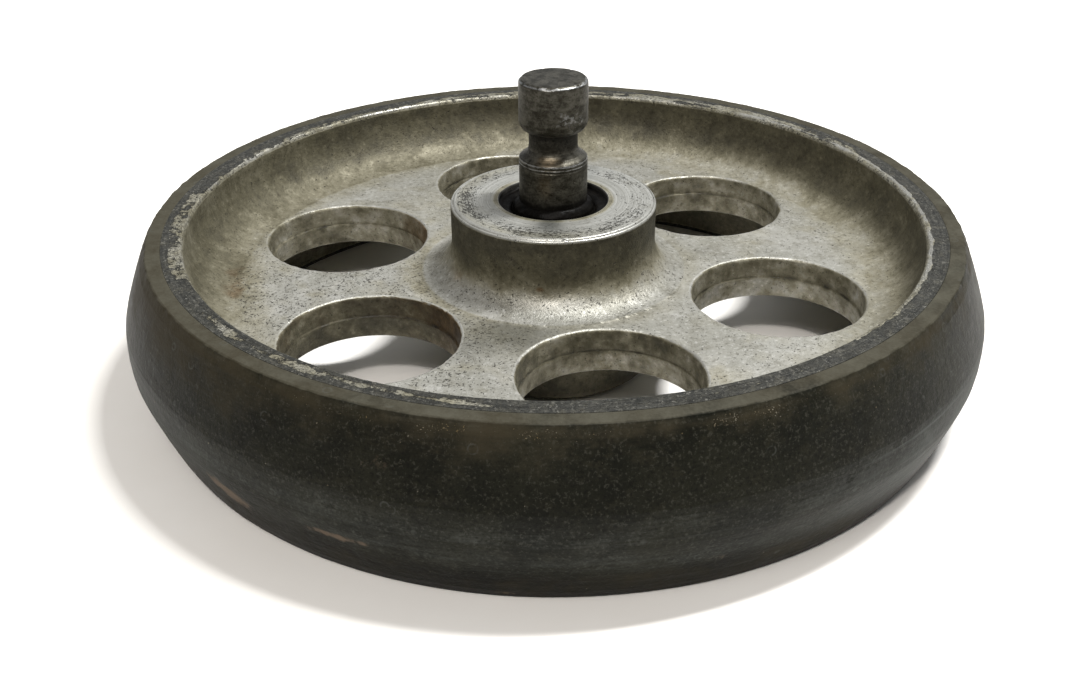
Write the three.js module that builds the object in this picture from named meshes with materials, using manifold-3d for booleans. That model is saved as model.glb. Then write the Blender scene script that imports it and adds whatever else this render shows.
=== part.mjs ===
// Rubber-tyred cast wheel on a grooved stub spindle.
// Millimetres, +Z up along the spindle, the wheel lying flat with its lower
// side face on Z = 0 and its axis on X = Y = 0.

import * as THREE from 'three';
import { mergeVertices } from 'three/addons/utils/BufferGeometryUtils.js';
import Module from 'manifold-3d';

const wasm = await Module();
wasm.setup();

// ---------------------------------------------------------------- dimensions

// wheel
const TYRE_DIAMETER = 315;
const TYRE_SHOULDER_DIAMETER = 294.8;
const WHEEL_WIDTH = 61.2;
const MID = WHEEL_WIDTH / 2;
const RIM_OUTER_RADIUS = 142;
const RIM_INNER_RADIUS = 134.3;
const RIM_LIP = 0.9;
const RIM_FILLET = 17;

const WEB_THICKNESS = 16.6;
const WEB_TOP = MID + WEB_THICKNESS / 2;
const WEB_BOTTOM = MID - WEB_THICKNESS / 2;
const HOLE_COUNT = 6;
const HOLE_PITCH_RADIUS = 85.3;
const HOLE_RADIUS = 30.8;
const HOLE_EDGE_RADIUS = 31.9;
const HOLE_FIRST_ANGLE = 42.7;

const HUB_RADIUS = 38;
const HUB_TOP = 66;
const HUB_BOTTOM = 2;
const HUB_CHAMFER = 0.8;
const HUB_FILLET = 12;

// bores, from the top: seal bore, ledge, bearing bore, circlip groove, cap seat
const SEAL_BORE_RADIUS = 20;
const SEAL_LEDGE_RADIUS = 18.5;
const SEAL_LEDGE_TOP = 58;
const BEARING_SHOULDER = 56;
const BEARING_BORE_RADIUS = 26;
const BORE_GROOVE_RADIUS = 27.5;
const BORE_GROOVE_BOTTOM = 5.3;
const BORE_GROOVE_TOP = 7.9;
const CAP_SEAT_RADIUS = 27.2;
const CAP_SEAT_TOP = 4.2;

// spindle
const SHAFT_RADIUS = 12.5;
const SHAFT_BOTTOM = 4.8;
const SHAFT_TOP = 111.8;
const COLLAR_RADIUS = 15;
const COLLAR_TOP = 63.2;
const FLARE_BOTTOM = 82.6;
const NECK_RADIUS = 8.85;
const NECK_BOTTOM = 87;
const NECK_TOP = 92.6;
const HEAD_BOTTOM = 95.3;
const SHAFT_GROOVE_RADIUS = 11.9;

// deep groove ball bearing, 25 x 52 x 15
const BEARING_WIDTH = 15;
const RACE_OUTER_RADIUS = 25.65;
const BALL_COUNT = 9;
const BALL_PITCH_RADIUS = 19.25;
const BALL_RADIUS = 3.75;
const INNER_LAND_RADIUS = 16.2;
const INNER_GROOVE_RADIUS = 15.15;
const OUTER_LAND_RADIUS = 22.3;
const OUTER_GROOVE_RADIUS = 23.5;
const SHIELD_SEAT_RADIUS = 23.4;

// running fits and joints between neighbouring pieces
const GAP = 0.3;

const UPPER_BEARING_CENTRE = BEARING_SHOULDER - GAP - BEARING_WIDTH / 2;
const LOWER_BEARING_CENTRE = BORE_GROOVE_TOP + BEARING_WIDTH / 2;
const SPACER_BOTTOM = LOWER_BEARING_CENTRE + BEARING_WIDTH / 2 + GAP;
const SPACER_TOP = UPPER_BEARING_CENTRE - BEARING_WIDTH / 2 - GAP;

// facets round the axis
const WHEEL_SIDES = 48;
const HOLE_SIDES = 24;
const TURNED_SIDES = 24;
const CAGE_SIDES = 18;

// ------------------------------------------------------------------ helpers

// one closed, outward-facing solid from a three.js geometry
function closed(geometry) {
  let g = geometry.clone();
  g.deleteAttribute('normal');
  g.deleteAttribute('uv');
  g = mergeVertices(g, 1e-4);
  const p = g.attributes.position;
  const a = new THREE.Vector3(), b = new THREE.Vector3(), c = new THREE.Vector3();
  const kept = [];
  let volume = 0;
  for (let i = 0; i < g.index.count; i += 3) {
    const [i0, i1, i2] = [g.index.getX(i), g.index.getX(i + 1), g.index.getX(i + 2)];
    if (i0 === i1 || i1 === i2 || i2 === i0) continue;
    kept.push(i0, i1, i2);
    a.fromBufferAttribute(p, i0);
    b.fromBufferAttribute(p, i1);
    c.fromBufferAttribute(p, i2);
    volume += a.dot(b.cross(c)) / 6;
  }
  if (volume < 0) {
    for (let i = 0; i < kept.length; i += 3) [kept[i + 1], kept[i + 2]] = [kept[i + 2], kept[i + 1]];
  }
  g.setIndex(kept);
  g.computeVertexNormals();
  return g;
}

// profile of [radius, height] pairs turned round the Z axis
function turned(profile, sides) {
  const points = profile.map(([r, z]) => new THREE.Vector2(r, z));
  return closed(new THREE.LatheGeometry(points, sides).rotateX(Math.PI / 2));
}

// closed ring: the profile comes back to its first point
function ring(profile, sides) {
  return turned([...profile, profile[0]], sides);
}

function tube(inner, outer, bottom, top, sides) {
  return ring([[inner, bottom], [outer, bottom], [outer, top], [inner, top]], sides);
}

// quarter arc from angle a0 to a1 (degrees) as [radius, height] pairs
function arc(centreR, centreZ, radius, a0, a1, steps) {
  const out = [];
  for (let i = 0; i <= steps; i++) {
    const t = THREE.MathUtils.degToRad(a0 + (a1 - a0) * i / steps);
    out.push([centreR + radius * Math.cos(t), centreZ + radius * Math.sin(t)]);
  }
  return out;
}

function toManifold(geometry) {
  return new wasm.Manifold(new wasm.Mesh({
    numProp: 3,
    vertProperties: Float32Array.from(geometry.attributes.position.array),
    triVerts: Uint32Array.from(geometry.index.array),
  }));
}

function fromManifold(solid) {
  const m = solid.getMesh();
  const g = new THREE.BufferGeometry();
  g.setAttribute('position', new THREE.BufferAttribute(new Float32Array(m.vertProperties), 3));
  g.setIndex(new THREE.BufferAttribute(new Uint32Array(m.triVerts), 1));
  g.computeVertexNormals();
  return g;
}

const STEEL = { color: 0x5b5c5a, roughness: 0.38, metalness: 0.95 };
const BRIGHT_STEEL = { color: 0xb9bbbd, roughness: 0.22, metalness: 1.0 };
const ALUMINIUM = { color: 0xaeab9f, roughness: 0.55, metalness: 0.85 };
const TYRE_RUBBER = { color: 0x2d2b27, roughness: 0.62, metalness: 0.0 };
const SEAL_RUBBER = { color: 0x191715, roughness: 0.5, metalness: 0.0 };
const ZINC = { color: 0x8f9190, roughness: 0.4, metalness: 0.9 };
const CAGE_STEEL = { color: 0xa09c92, roughness: 0.35, metalness: 0.9 };
const SPRING_STEEL = { color: 0x3b3c3d, roughness: 0.35, metalness: 0.9 };

function piece(parent, name, geometry, look) {
  const mesh = new THREE.Mesh(geometry, new THREE.MeshStandardMaterial({ ...look, flatShading: true }));
  mesh.name = name;
  parent.add(mesh);
  return mesh;
}

const wheel = new THREE.Group();

// ------------------------------------------------------------- wheel casting

// section of the rim, web and hub, from the hub's top chamfer down the
// outside, round the rim, and back up through the stepped bore
const rimSection = [
  [SEAL_BORE_RADIUS + 0.8, HUB_TOP],
  [HUB_RADIUS - HUB_CHAMFER, HUB_TOP],
  [HUB_RADIUS, HUB_TOP - HUB_CHAMFER],
  ...arc(HUB_RADIUS + HUB_FILLET, WEB_TOP + HUB_FILLET, HUB_FILLET, 180, 270, 3),
  ...arc(RIM_INNER_RADIUS - RIM_FILLET, WEB_TOP + RIM_FILLET, RIM_FILLET, 270, 360, 4),
  [RIM_INNER_RADIUS, WHEEL_WIDTH - RIM_LIP],
  [RIM_INNER_RADIUS + RIM_LIP, WHEEL_WIDTH],
  [RIM_OUTER_RADIUS, WHEEL_WIDTH],
  [RIM_OUTER_RADIUS, 0],
  [RIM_INNER_RADIUS + RIM_LIP, 0],
  [RIM_INNER_RADIUS, RIM_LIP],
  ...arc(RIM_INNER_RADIUS - RIM_FILLET, WEB_BOTTOM - RIM_FILLET, RIM_FILLET, 0, 90, 4),
  ...arc(HUB_RADIUS + HUB_FILLET, WEB_BOTTOM - HUB_FILLET, HUB_FILLET, 90, 180, 3),
  [HUB_RADIUS, HUB_BOTTOM + HUB_CHAMFER],
  [HUB_RADIUS - HUB_CHAMFER, HUB_BOTTOM],
  [CAP_SEAT_RADIUS, HUB_BOTTOM],
  [CAP_SEAT_RADIUS, CAP_SEAT_TOP],
  [BEARING_BORE_RADIUS, CAP_SEAT_TOP],
  [BEARING_BORE_RADIUS, BORE_GROOVE_BOTTOM],
  [BORE_GROOVE_RADIUS, BORE_GROOVE_BOTTOM],
  [BORE_GROOVE_RADIUS, BORE_GROOVE_TOP],
  [BEARING_BORE_RADIUS, BORE_GROOVE_TOP],
  [BEARING_BORE_RADIUS, BEARING_SHOULDER],
  [SEAL_LEDGE_RADIUS, BEARING_SHOULDER],
  [SEAL_LEDGE_RADIUS, SEAL_LEDGE_TOP],
  [SEAL_BORE_RADIUS, SEAL_LEDGE_TOP],
  [SEAL_BORE_RADIUS, HUB_TOP - 0.8],
];

// a cored hole with its edges broken
const holeCore = turned([
  [0, -10],
  [HOLE_EDGE_RADIUS, -10],
  [HOLE_EDGE_RADIUS, WEB_BOTTOM],
  [HOLE_RADIUS, WEB_BOTTOM + 1.2],
  [HOLE_RADIUS, WEB_TOP - 1.2],
  [HOLE_EDGE_RADIUS, WEB_TOP],
  [HOLE_EDGE_RADIUS, WHEEL_WIDTH + 10],
  [0, WHEEL_WIDTH + 10],
], HOLE_SIDES);

let casting = toManifold(ring(rimSection, WHEEL_SIDES));
for (let i = 0; i < HOLE_COUNT; i++) {
  const angle = THREE.MathUtils.degToRad(HOLE_FIRST_ANGLE + i * 360 / HOLE_COUNT);
  const core = holeCore.clone()
    .rotateZ(angle)
    .translate(HOLE_PITCH_RADIUS * Math.cos(angle), HOLE_PITCH_RADIUS * Math.sin(angle), 0);
  casting = casting.subtract(toManifold(core));
}
piece(wheel, 'wheel_casting', fromManifold(casting), ALUMINIUM);

// --------------------------------------------------------------- rubber tyre

// solid crowned tyre bonded on the rim, the same both sides of its middle
const crown = [
  [TYRE_SHOULDER_DIAMETER / 2, 0],
  [150.7, 6.2],
  [153.2, 12.9],
  [155.6, 19.4],
  [157.3, 25.7],
];
const tyreSection = [
  [RIM_OUTER_RADIUS + GAP, 0],
  ...crown,
  [TYRE_DIAMETER / 2, MID],
  ...crown.map(([r, z]) => [r, WHEEL_WIDTH - z]).reverse(),
  [RIM_OUTER_RADIUS + GAP, WHEEL_WIDTH],
];
piece(wheel, 'rubber_tyre', ring(tyreSection, WHEEL_SIDES), TYRE_RUBBER);

// ------------------------------------------------------------------- spindle

// plain shaft with a bearing collar, an open groove below its locking head,
// and a circlip groove at its lower end
const spindleSection = [
  [0, SHAFT_BOTTOM],
  [SHAFT_RADIUS - 0.6, SHAFT_BOTTOM],
  [SHAFT_RADIUS, SHAFT_BOTTOM + 0.6],
  [SHAFT_RADIUS, 6.2],
  [SHAFT_GROOVE_RADIUS, 6.2],
  [SHAFT_GROOVE_RADIUS, BORE_GROOVE_TOP],
  [SHAFT_RADIUS, BORE_GROOVE_TOP],
  [SHAFT_RADIUS, BEARING_SHOULDER],
  [COLLAR_RADIUS, BEARING_SHOULDER],
  [COLLAR_RADIUS, COLLAR_TOP - 0.6],
  [COLLAR_RADIUS - 0.6, COLLAR_TOP],
  [SHAFT_RADIUS, COLLAR_TOP],
  [SHAFT_RADIUS, FLARE_BOTTOM],
  [10.2, 84.3],
  [9.2, 85.6],
  [NECK_RADIUS, NECK_BOTTOM],
  [NECK_RADIUS, NECK_TOP],
  [SHAFT_RADIUS - 0.5, HEAD_BOTTOM - 0.7],
  [SHAFT_RADIUS, HEAD_BOTTOM],
  [SHAFT_RADIUS, SHAFT_TOP - 1],
  [SHAFT_RADIUS - 1, SHAFT_TOP],
  [0, SHAFT_TOP],
];
piece(wheel, 'spindle', turned(spindleSection, TURNED_SIDES), STEEL);

// ------------------------------------------------------------------ lip seal

// 30 x 40 x 5 seal over the spindle collar: pressed steel case, moulded lip
const sealCase = ring([
  [17.6, 58.3],
  [SEAL_BORE_RADIUS - GAP, 58.3],
  [SEAL_BORE_RADIUS - GAP, 63.2],
  [SEAL_BORE_RADIUS - 1.3, 63.2],
  [SEAL_BORE_RADIUS - 1.3, 59.3],
  [17.6, 59.3],
], TURNED_SIDES);
piece(wheel, 'seal_case', sealCase, ZINC);

const sealLip = ring([
  [16.2, 59.6],
  [18.4, 59.6],
  [18.4, 63.0],
  [16.6, 63.0],
  [15.4, 61.6],
  [15.4, 61.1],
], TURNED_SIDES);
piece(wheel, 'seal_lip', sealLip, SEAL_RUBBER);

// ------------------------------------------------------------- ball bearings

const outerRaceSection = [
  [RACE_OUTER_RADIUS, -BEARING_WIDTH / 2],
  [RACE_OUTER_RADIUS, BEARING_WIDTH / 2],
  [SHIELD_SEAT_RADIUS, BEARING_WIDTH / 2],
  [SHIELD_SEAT_RADIUS, 6.0],
  [OUTER_LAND_RADIUS, 6.0],
  [OUTER_LAND_RADIUS, 2.9],
  [OUTER_GROOVE_RADIUS, 1.2],
  [OUTER_GROOVE_RADIUS, -1.2],
  [OUTER_LAND_RADIUS, -2.9],
  [OUTER_LAND_RADIUS, -6.0],
  [SHIELD_SEAT_RADIUS, -6.0],
  [SHIELD_SEAT_RADIUS, -BEARING_WIDTH / 2],
];
const innerRaceSection = [
  [SHAFT_RADIUS + GAP, -BEARING_WIDTH / 2],
  [INNER_LAND_RADIUS, -BEARING_WIDTH / 2],
  [INNER_LAND_RADIUS, -2.9],
  [INNER_GROOVE_RADIUS, -1.2],
  [INNER_GROOVE_RADIUS, 1.2],
  [INNER_LAND_RADIUS, 2.9],
  [INNER_LAND_RADIUS, BEARING_WIDTH / 2],
  [SHAFT_RADIUS + GAP, BEARING_WIDTH / 2],
];
const outerRace = ring(outerRaceSection, TURNED_SIDES);
const innerRace = ring(innerRaceSection, TURNED_SIDES);
const shield = tube(INNER_LAND_RADIUS + 0.5, SHIELD_SEAT_RADIUS - GAP, 6.3, 7.1, TURNED_SIDES);

// ball cage: a band with one round pocket for each ball
const pocketRadius = BALL_RADIUS + 0.4;
let cageSolid = toManifold(tube(17.4, 20.9, -5.1, 5.1, CAGE_SIDES));
for (let i = 0; i < BALL_COUNT; i++) {
  const angle = 2 * Math.PI * i / BALL_COUNT;
  const pocket = closed(new THREE.CylinderGeometry(pocketRadius, pocketRadius, 12, 12)
    .rotateZ(-Math.PI / 2)
    .translate(BALL_PITCH_RADIUS, 0, 0)
    .rotateZ(angle));
  cageSolid = cageSolid.subtract(toManifold(pocket));
}
const cage = fromManifold(cageSolid);
const ball = closed(new THREE.SphereGeometry(BALL_RADIUS, 8, 6));

function bearing(label, centre) {
  const group = new THREE.Group();
  group.position.z = centre;
  wheel.add(group);
  piece(group, `${label}_outer_race`, outerRace, BRIGHT_STEEL);
  piece(group, `${label}_inner_race`, innerRace, BRIGHT_STEEL);
  piece(group, `${label}_cage`, cage, CAGE_STEEL);
  piece(group, `${label}_shield_top`, shield, ZINC);
  piece(group, `${label}_shield_bottom`, shield, ZINC).rotation.x = Math.PI;
  for (let i = 0; i < BALL_COUNT; i++) {
    const angle = 2 * Math.PI * i / BALL_COUNT;
    const mesh = piece(group, `${label}_ball_${i + 1}`, ball, BRIGHT_STEEL);
    mesh.position.set(BALL_PITCH_RADIUS * Math.cos(angle), BALL_PITCH_RADIUS * Math.sin(angle), 0);
  }
}
bearing('upper', UPPER_BEARING_CENTRE);
bearing('lower', LOWER_BEARING_CENTRE);

// ------------------------------------------------- spacers, circlips and cap

piece(wheel, 'outer_spacer',
  tube(23.4, RACE_OUTER_RADIUS, SPACER_BOTTOM, SPACER_TOP, TURNED_SIDES), STEEL);
piece(wheel, 'inner_spacer',
  tube(SHAFT_RADIUS + GAP, 15.6, SPACER_BOTTOM, SPACER_TOP, TURNED_SIDES), STEEL);

// open retaining ring with two eyed ears, on the inside or the outside edge
function circlip(inner, outer, thickness, halfGap, earRadius, earCentre, eye) {
  const shape = new THREE.Shape();
  const start = THREE.MathUtils.degToRad(halfGap);
  const steps = 20;
  const at = (r, t) => [r * Math.cos(t), r * Math.sin(t)];
  const span = 2 * Math.PI - 2 * start;
  for (let i = 0; i <= steps; i++) {
    const [x, y] = at(outer, start + span * i / steps);
    if (i === 0) shape.moveTo(x, y); else shape.lineTo(x, y);
  }
  for (let i = steps; i >= 0; i--) shape.lineTo(...at(inner, start + span * i / steps));
  shape.closePath();
  const body = closed(new THREE.ExtrudeGeometry(shape, { depth: thickness, bevelEnabled: false }));
  let solid = toManifold(body);
  const earAngle = start + 0.9 * earRadius / earCentre;
  for (const side of [1, -1]) {
    const [x, y] = at(earCentre, side * earAngle);
    const ear = closed(new THREE.CylinderGeometry(earRadius, earRadius, thickness, 12)
      .rotateX(Math.PI / 2).translate(x, y, thickness / 2));
    solid = solid.add(toManifold(ear));
  }
  for (const side of [1, -1]) {
    const [x, y] = at(earCentre, side * earAngle);
    const hole = closed(new THREE.CylinderGeometry(eye, eye, thickness + 2, 8)
      .rotateX(Math.PI / 2).translate(x, y, thickness / 2));
    solid = solid.subtract(toManifold(hole));
  }
  return fromManifold(solid);
}

// inside the bore under the lower outer race; its ears point inwards
piece(wheel, 'bore_circlip', circlip(24.4, 27.1, 2.0, 14, 3.0, 22.6, 1.25), SPRING_STEEL)
  .position.z = 5.6;

// on the spindle under the lower inner race; its ears point outwards
piece(wheel, 'spindle_circlip', circlip(12.3, 14.6, 1.1, 17, 1.9, 15.4, 0.8), SPRING_STEEL)
  .position.z = 6.5;

// shallow pressed dust cap closing the bore's lower mouth
piece(wheel, 'dust_cap', turned([
  [0, 2.9],
  [23.0, 2.9],
  [24.2, 2.3],
  [CAP_SEAT_RADIUS - GAP, 2.3],
  [CAP_SEAT_RADIUS - GAP, 3.9],
  [24.6, 3.9],
  [23.2, 4.1],
  [0, 4.1],
], TURNED_SIDES), ZINC);

export default wheel;
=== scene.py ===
import math

import bpy
import numpy as np
from mathutils import Matrix, Vector
from mathutils.geometry import delaunay_2d_cdt


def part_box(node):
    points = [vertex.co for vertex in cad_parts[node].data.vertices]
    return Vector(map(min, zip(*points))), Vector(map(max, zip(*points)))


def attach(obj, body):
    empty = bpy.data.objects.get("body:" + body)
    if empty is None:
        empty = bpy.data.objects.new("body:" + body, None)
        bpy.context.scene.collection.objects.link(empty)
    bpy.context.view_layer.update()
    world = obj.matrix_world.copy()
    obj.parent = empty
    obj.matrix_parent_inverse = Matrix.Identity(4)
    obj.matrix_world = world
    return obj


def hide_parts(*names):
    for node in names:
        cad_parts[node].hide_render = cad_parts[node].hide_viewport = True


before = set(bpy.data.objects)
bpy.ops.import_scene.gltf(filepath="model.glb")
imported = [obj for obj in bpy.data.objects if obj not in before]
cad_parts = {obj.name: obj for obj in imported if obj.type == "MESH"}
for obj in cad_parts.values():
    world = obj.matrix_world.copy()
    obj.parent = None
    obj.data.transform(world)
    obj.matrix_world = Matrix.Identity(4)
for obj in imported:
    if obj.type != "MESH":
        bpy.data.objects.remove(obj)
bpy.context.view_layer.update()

MM = 0.001
TAU = 2 * math.pi

# main sizes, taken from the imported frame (millimetres)
tyre_lo, tyre_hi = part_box("rubber_tyre")
cast_lo, cast_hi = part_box("wheel_casting")
spin_lo, spin_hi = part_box("spindle")
WIDTH = tyre_hi.z / MM                       # 61.2
TYRE_R = tyre_hi.x / MM                      # 157.5
HUB_TOP = cast_hi.z / MM                     # 66
SPINDLE_TOP = spin_hi.z / MM                 # 111.8
SPINDLE_BOTTOM = spin_lo.z / MM              # 4.8
MID = WIDTH / 2

# ------------------------------------------------------------------ noise


def _hash(ix, iy, iz, seed):
    h = (ix * 374761393 + iy * 668265263 + iz * 1440662683 + seed * 974634777) & 0xFFFFFFFF
    h = ((h ^ (h >> 13)) * 1274126177) & 0xFFFFFFFF
    h = ((h ^ (h >> 15)) * 2246822519) & 0xFFFFFFFF
    return ((h ^ (h >> 16)) & 0xFFFFFF) / float(0xFFFFFF)


def vnoise(P, scale, seed=0):
    """Smooth value noise from -1 to 1 at points P (n, 3) in mm; scale is the feature size in mm."""
    q = np.asarray(P, float) / scale + 517.3
    i = np.floor(q).astype(np.int64)
    f = q - i
    f = f * f * f * (f * (f * 6 - 15) + 10)
    out = 0.0
    for dx in (0, 1):
        wx = f[:, 0] if dx else 1 - f[:, 0]
        for dy in (0, 1):
            wy = f[:, 1] if dy else 1 - f[:, 1]
            for dz in (0, 1):
                wz = f[:, 2] if dz else 1 - f[:, 2]
                out = out + wx * wy * wz * _hash(i[:, 0] + dx, i[:, 1] + dy, i[:, 2] + dz, seed)
    return out * 2 - 1


def fbm(P, scale, octaves=3, seed=0, gain=0.5):
    out, amp, total = 0.0, 1.0, 0.0
    for k in range(octaves):
        out = out + amp * vnoise(P, scale / 2 ** k, seed + 31 * k)
        total += amp
        amp *= gain
    return out / total


def smooth(a, b, x):
    t = np.clip((np.asarray(x, float) - a) / (b - a), 0, 1)
    return t * t * (3 - 2 * t)


def bell(x, centre, width):
    return np.exp(-((x - centre) / width) ** 2)


def az_bell(az, centre, width):
    """Bell in azimuth, in degrees, that wraps round."""
    d = (az - centre + 180) % 360 - 180
    return np.exp(-(d / width) ** 2)


def az_between(az, a, b, soft=4):
    """1 between azimuths a and b (degrees, a to b counter-clockwise), with soft ends."""
    span = (b - a) % 360
    d = (az - a) % 360
    d = np.where(d > span + (360 - span) / 2, d - 360, d)
    return smooth(-soft, soft, d) * (1 - smooth(span - soft, span + soft, d))


# ---------------------------------------------------------------- mesh code


def make(name, verts, faces, smooth_angle=35):
    """One mesh object from points in mm and faces, facing out."""
    verts = np.asarray(verts, float)
    tri = []
    for f in faces:
        f = np.asarray(f)
        if f.shape[1] == 4:
            tri += [f[:, [0, 1, 2]], f[:, [0, 2, 3]]]
        else:
            tri.append(f)
    t = np.concatenate(tri)
    a, b, c = verts[t[:, 0]], verts[t[:, 1]], verts[t[:, 2]]
    if np.einsum("ij,ij->i", a, np.cross(b, c)).sum() < 0:
        faces = [np.asarray(f)[:, ::-1] for f in faces]
    me = bpy.data.meshes.new(name)
    lists = []
    for f in faces:
        lists += np.asarray(f).tolist()
    me.from_pydata((verts * MM).tolist(), [], lists)
    me.update()
    me.shade_smooth()
    me.set_sharp_from_angle(angle=math.radians(smooth_angle))
    ob = bpy.data.objects.new(name, me)
    bpy.context.scene.collection.objects.link(ob)
    return ob


def points(ob):
    co = np.empty(len(ob.data.vertices) * 3, np.float32)
    ob.data.vertices.foreach_get("co", co)
    return co.reshape(-1, 3).astype(float) / MM


def normals(ob):
    n = np.empty(len(ob.data.vertices) * 3, np.float32)
    ob.data.vertex_normals.foreach_get("vector", n)
    return n.reshape(-1, 3).astype(float)


def set_points(ob, P):
    ob.data.vertices.foreach_set("co", (P * MM).astype(np.float32).ravel())
    ob.data.update()


def paint(ob, name, values):
    """A number at every vertex, which the material reads by name."""
    at = ob.data.attributes.get(name) or ob.data.attributes.new(name, "FLOAT", "POINT")
    at.data.foreach_set("value", np.broadcast_to(values, (len(ob.data.vertices),)).astype(np.float32))


def polar(P):
    r = np.hypot(P[:, 0], P[:, 1])
    az = np.degrees(np.arctan2(P[:, 1], P[:, 0]))
    return r, az, P[:, 2]


def resample(profile, step):
    """Profile points with no segment longer than step (a number, or one per segment)."""
    out = [profile[0]]
    for i in range(1, len(profile)):
        (r0, z0), (r1, z1) = profile[i - 1], profile[i]
        s = step[i - 1] if hasattr(step, "__len__") else step
        n = max(1, int(math.ceil(math.hypot(r1 - r0, z1 - z0) / s)))
        for k in range(1, n + 1):
            out.append((r0 + (r1 - r0) * k / n, z0 + (z1 - z0) * k / n))
    return out


def arc(cr, cz, rad, a0, a1, n):
    return [(cr + rad * math.cos(math.radians(a0 + (a1 - a0) * k / n)),
             cz + rad * math.sin(math.radians(a0 + (a1 - a0) * k / n))) for k in range(n + 1)]


def rounded(profile, radii, n=4):
    """Profile with its inner corners rounded. radii gives one radius for each point (ends ignored)."""
    out = []
    m = len(profile)
    for i, (p, rad) in enumerate(zip(profile, radii)):
        if rad <= 0 or i in (0, m - 1):
            out.append(tuple(p))
            continue
        p = np.array(p, float)
        a = np.array(profile[i - 1], float) - p
        b = np.array(profile[i + 1], float) - p
        la, lb = np.linalg.norm(a), np.linalg.norm(b)
        a, b = a / la, b / lb
        cosang = np.clip(a @ b, -1, 1)
        half = math.acos(cosang) / 2
        d = min(rad / max(math.tan(half), 1e-6), la * 0.48, lb * 0.48)
        p0, p1 = p + a * d, p + b * d
        for k in range(n + 1):
            t = k / n
            q = (1 - t) ** 2 * p0 + 2 * t * (1 - t) * p + t ** 2 * p1
            out.append((float(q[0]), float(q[1])))
    return out


def lathe(name, profile, sides, closed=True, phase=0.0, angle=35):
    """Turns a profile of (radius, height) in mm round Z. closed joins its end to its start; otherwise both ends are on the axis."""
    prof = [tuple(p) for p in profile]
    verts, ring_start = [], []
    ang = np.arange(sides) * TAU / sides + phase
    ca, sa = np.cos(ang), np.sin(ang)
    kinds = []
    count = 0
    for r, z in prof:
        ring_start.append(count)
        if r < 1e-6:
            verts.append(np.array([[0, 0, z]], float))
            kinds.append(1)
            count += 1
        else:
            verts.append(np.stack([r * ca, r * sa, np.full(sides, z)], 1))
            kinds.append(sides)
            count += sides
    quads, tris = [], []
    idx = np.arange(sides)
    nxt = (idx + 1) % sides
    pairs = [(i, i + 1) for i in range(len(prof) - 1)]
    if closed:
        pairs.append((len(prof) - 1, 0))
    for i, j in pairs:
        a, b = ring_start[i], ring_start[j]
        if kinds[i] == sides and kinds[j] == sides:
            quads.append(np.stack([a + idx, a + nxt, b + nxt, b + idx], 1))
        elif kinds[i] == 1:
            tris.append(np.stack([np.full(sides, a), b + nxt, b + idx], 1))
        elif kinds[j] == 1:
            tris.append(np.stack([a + idx, a + nxt, np.full(sides, b)], 1))
    faces = ([np.concatenate(quads)] if quads else []) + ([np.concatenate(tris)] if tris else [])
    return make(name, np.concatenate(verts), faces, angle)


# ----------------------------------------------------------- material code


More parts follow.
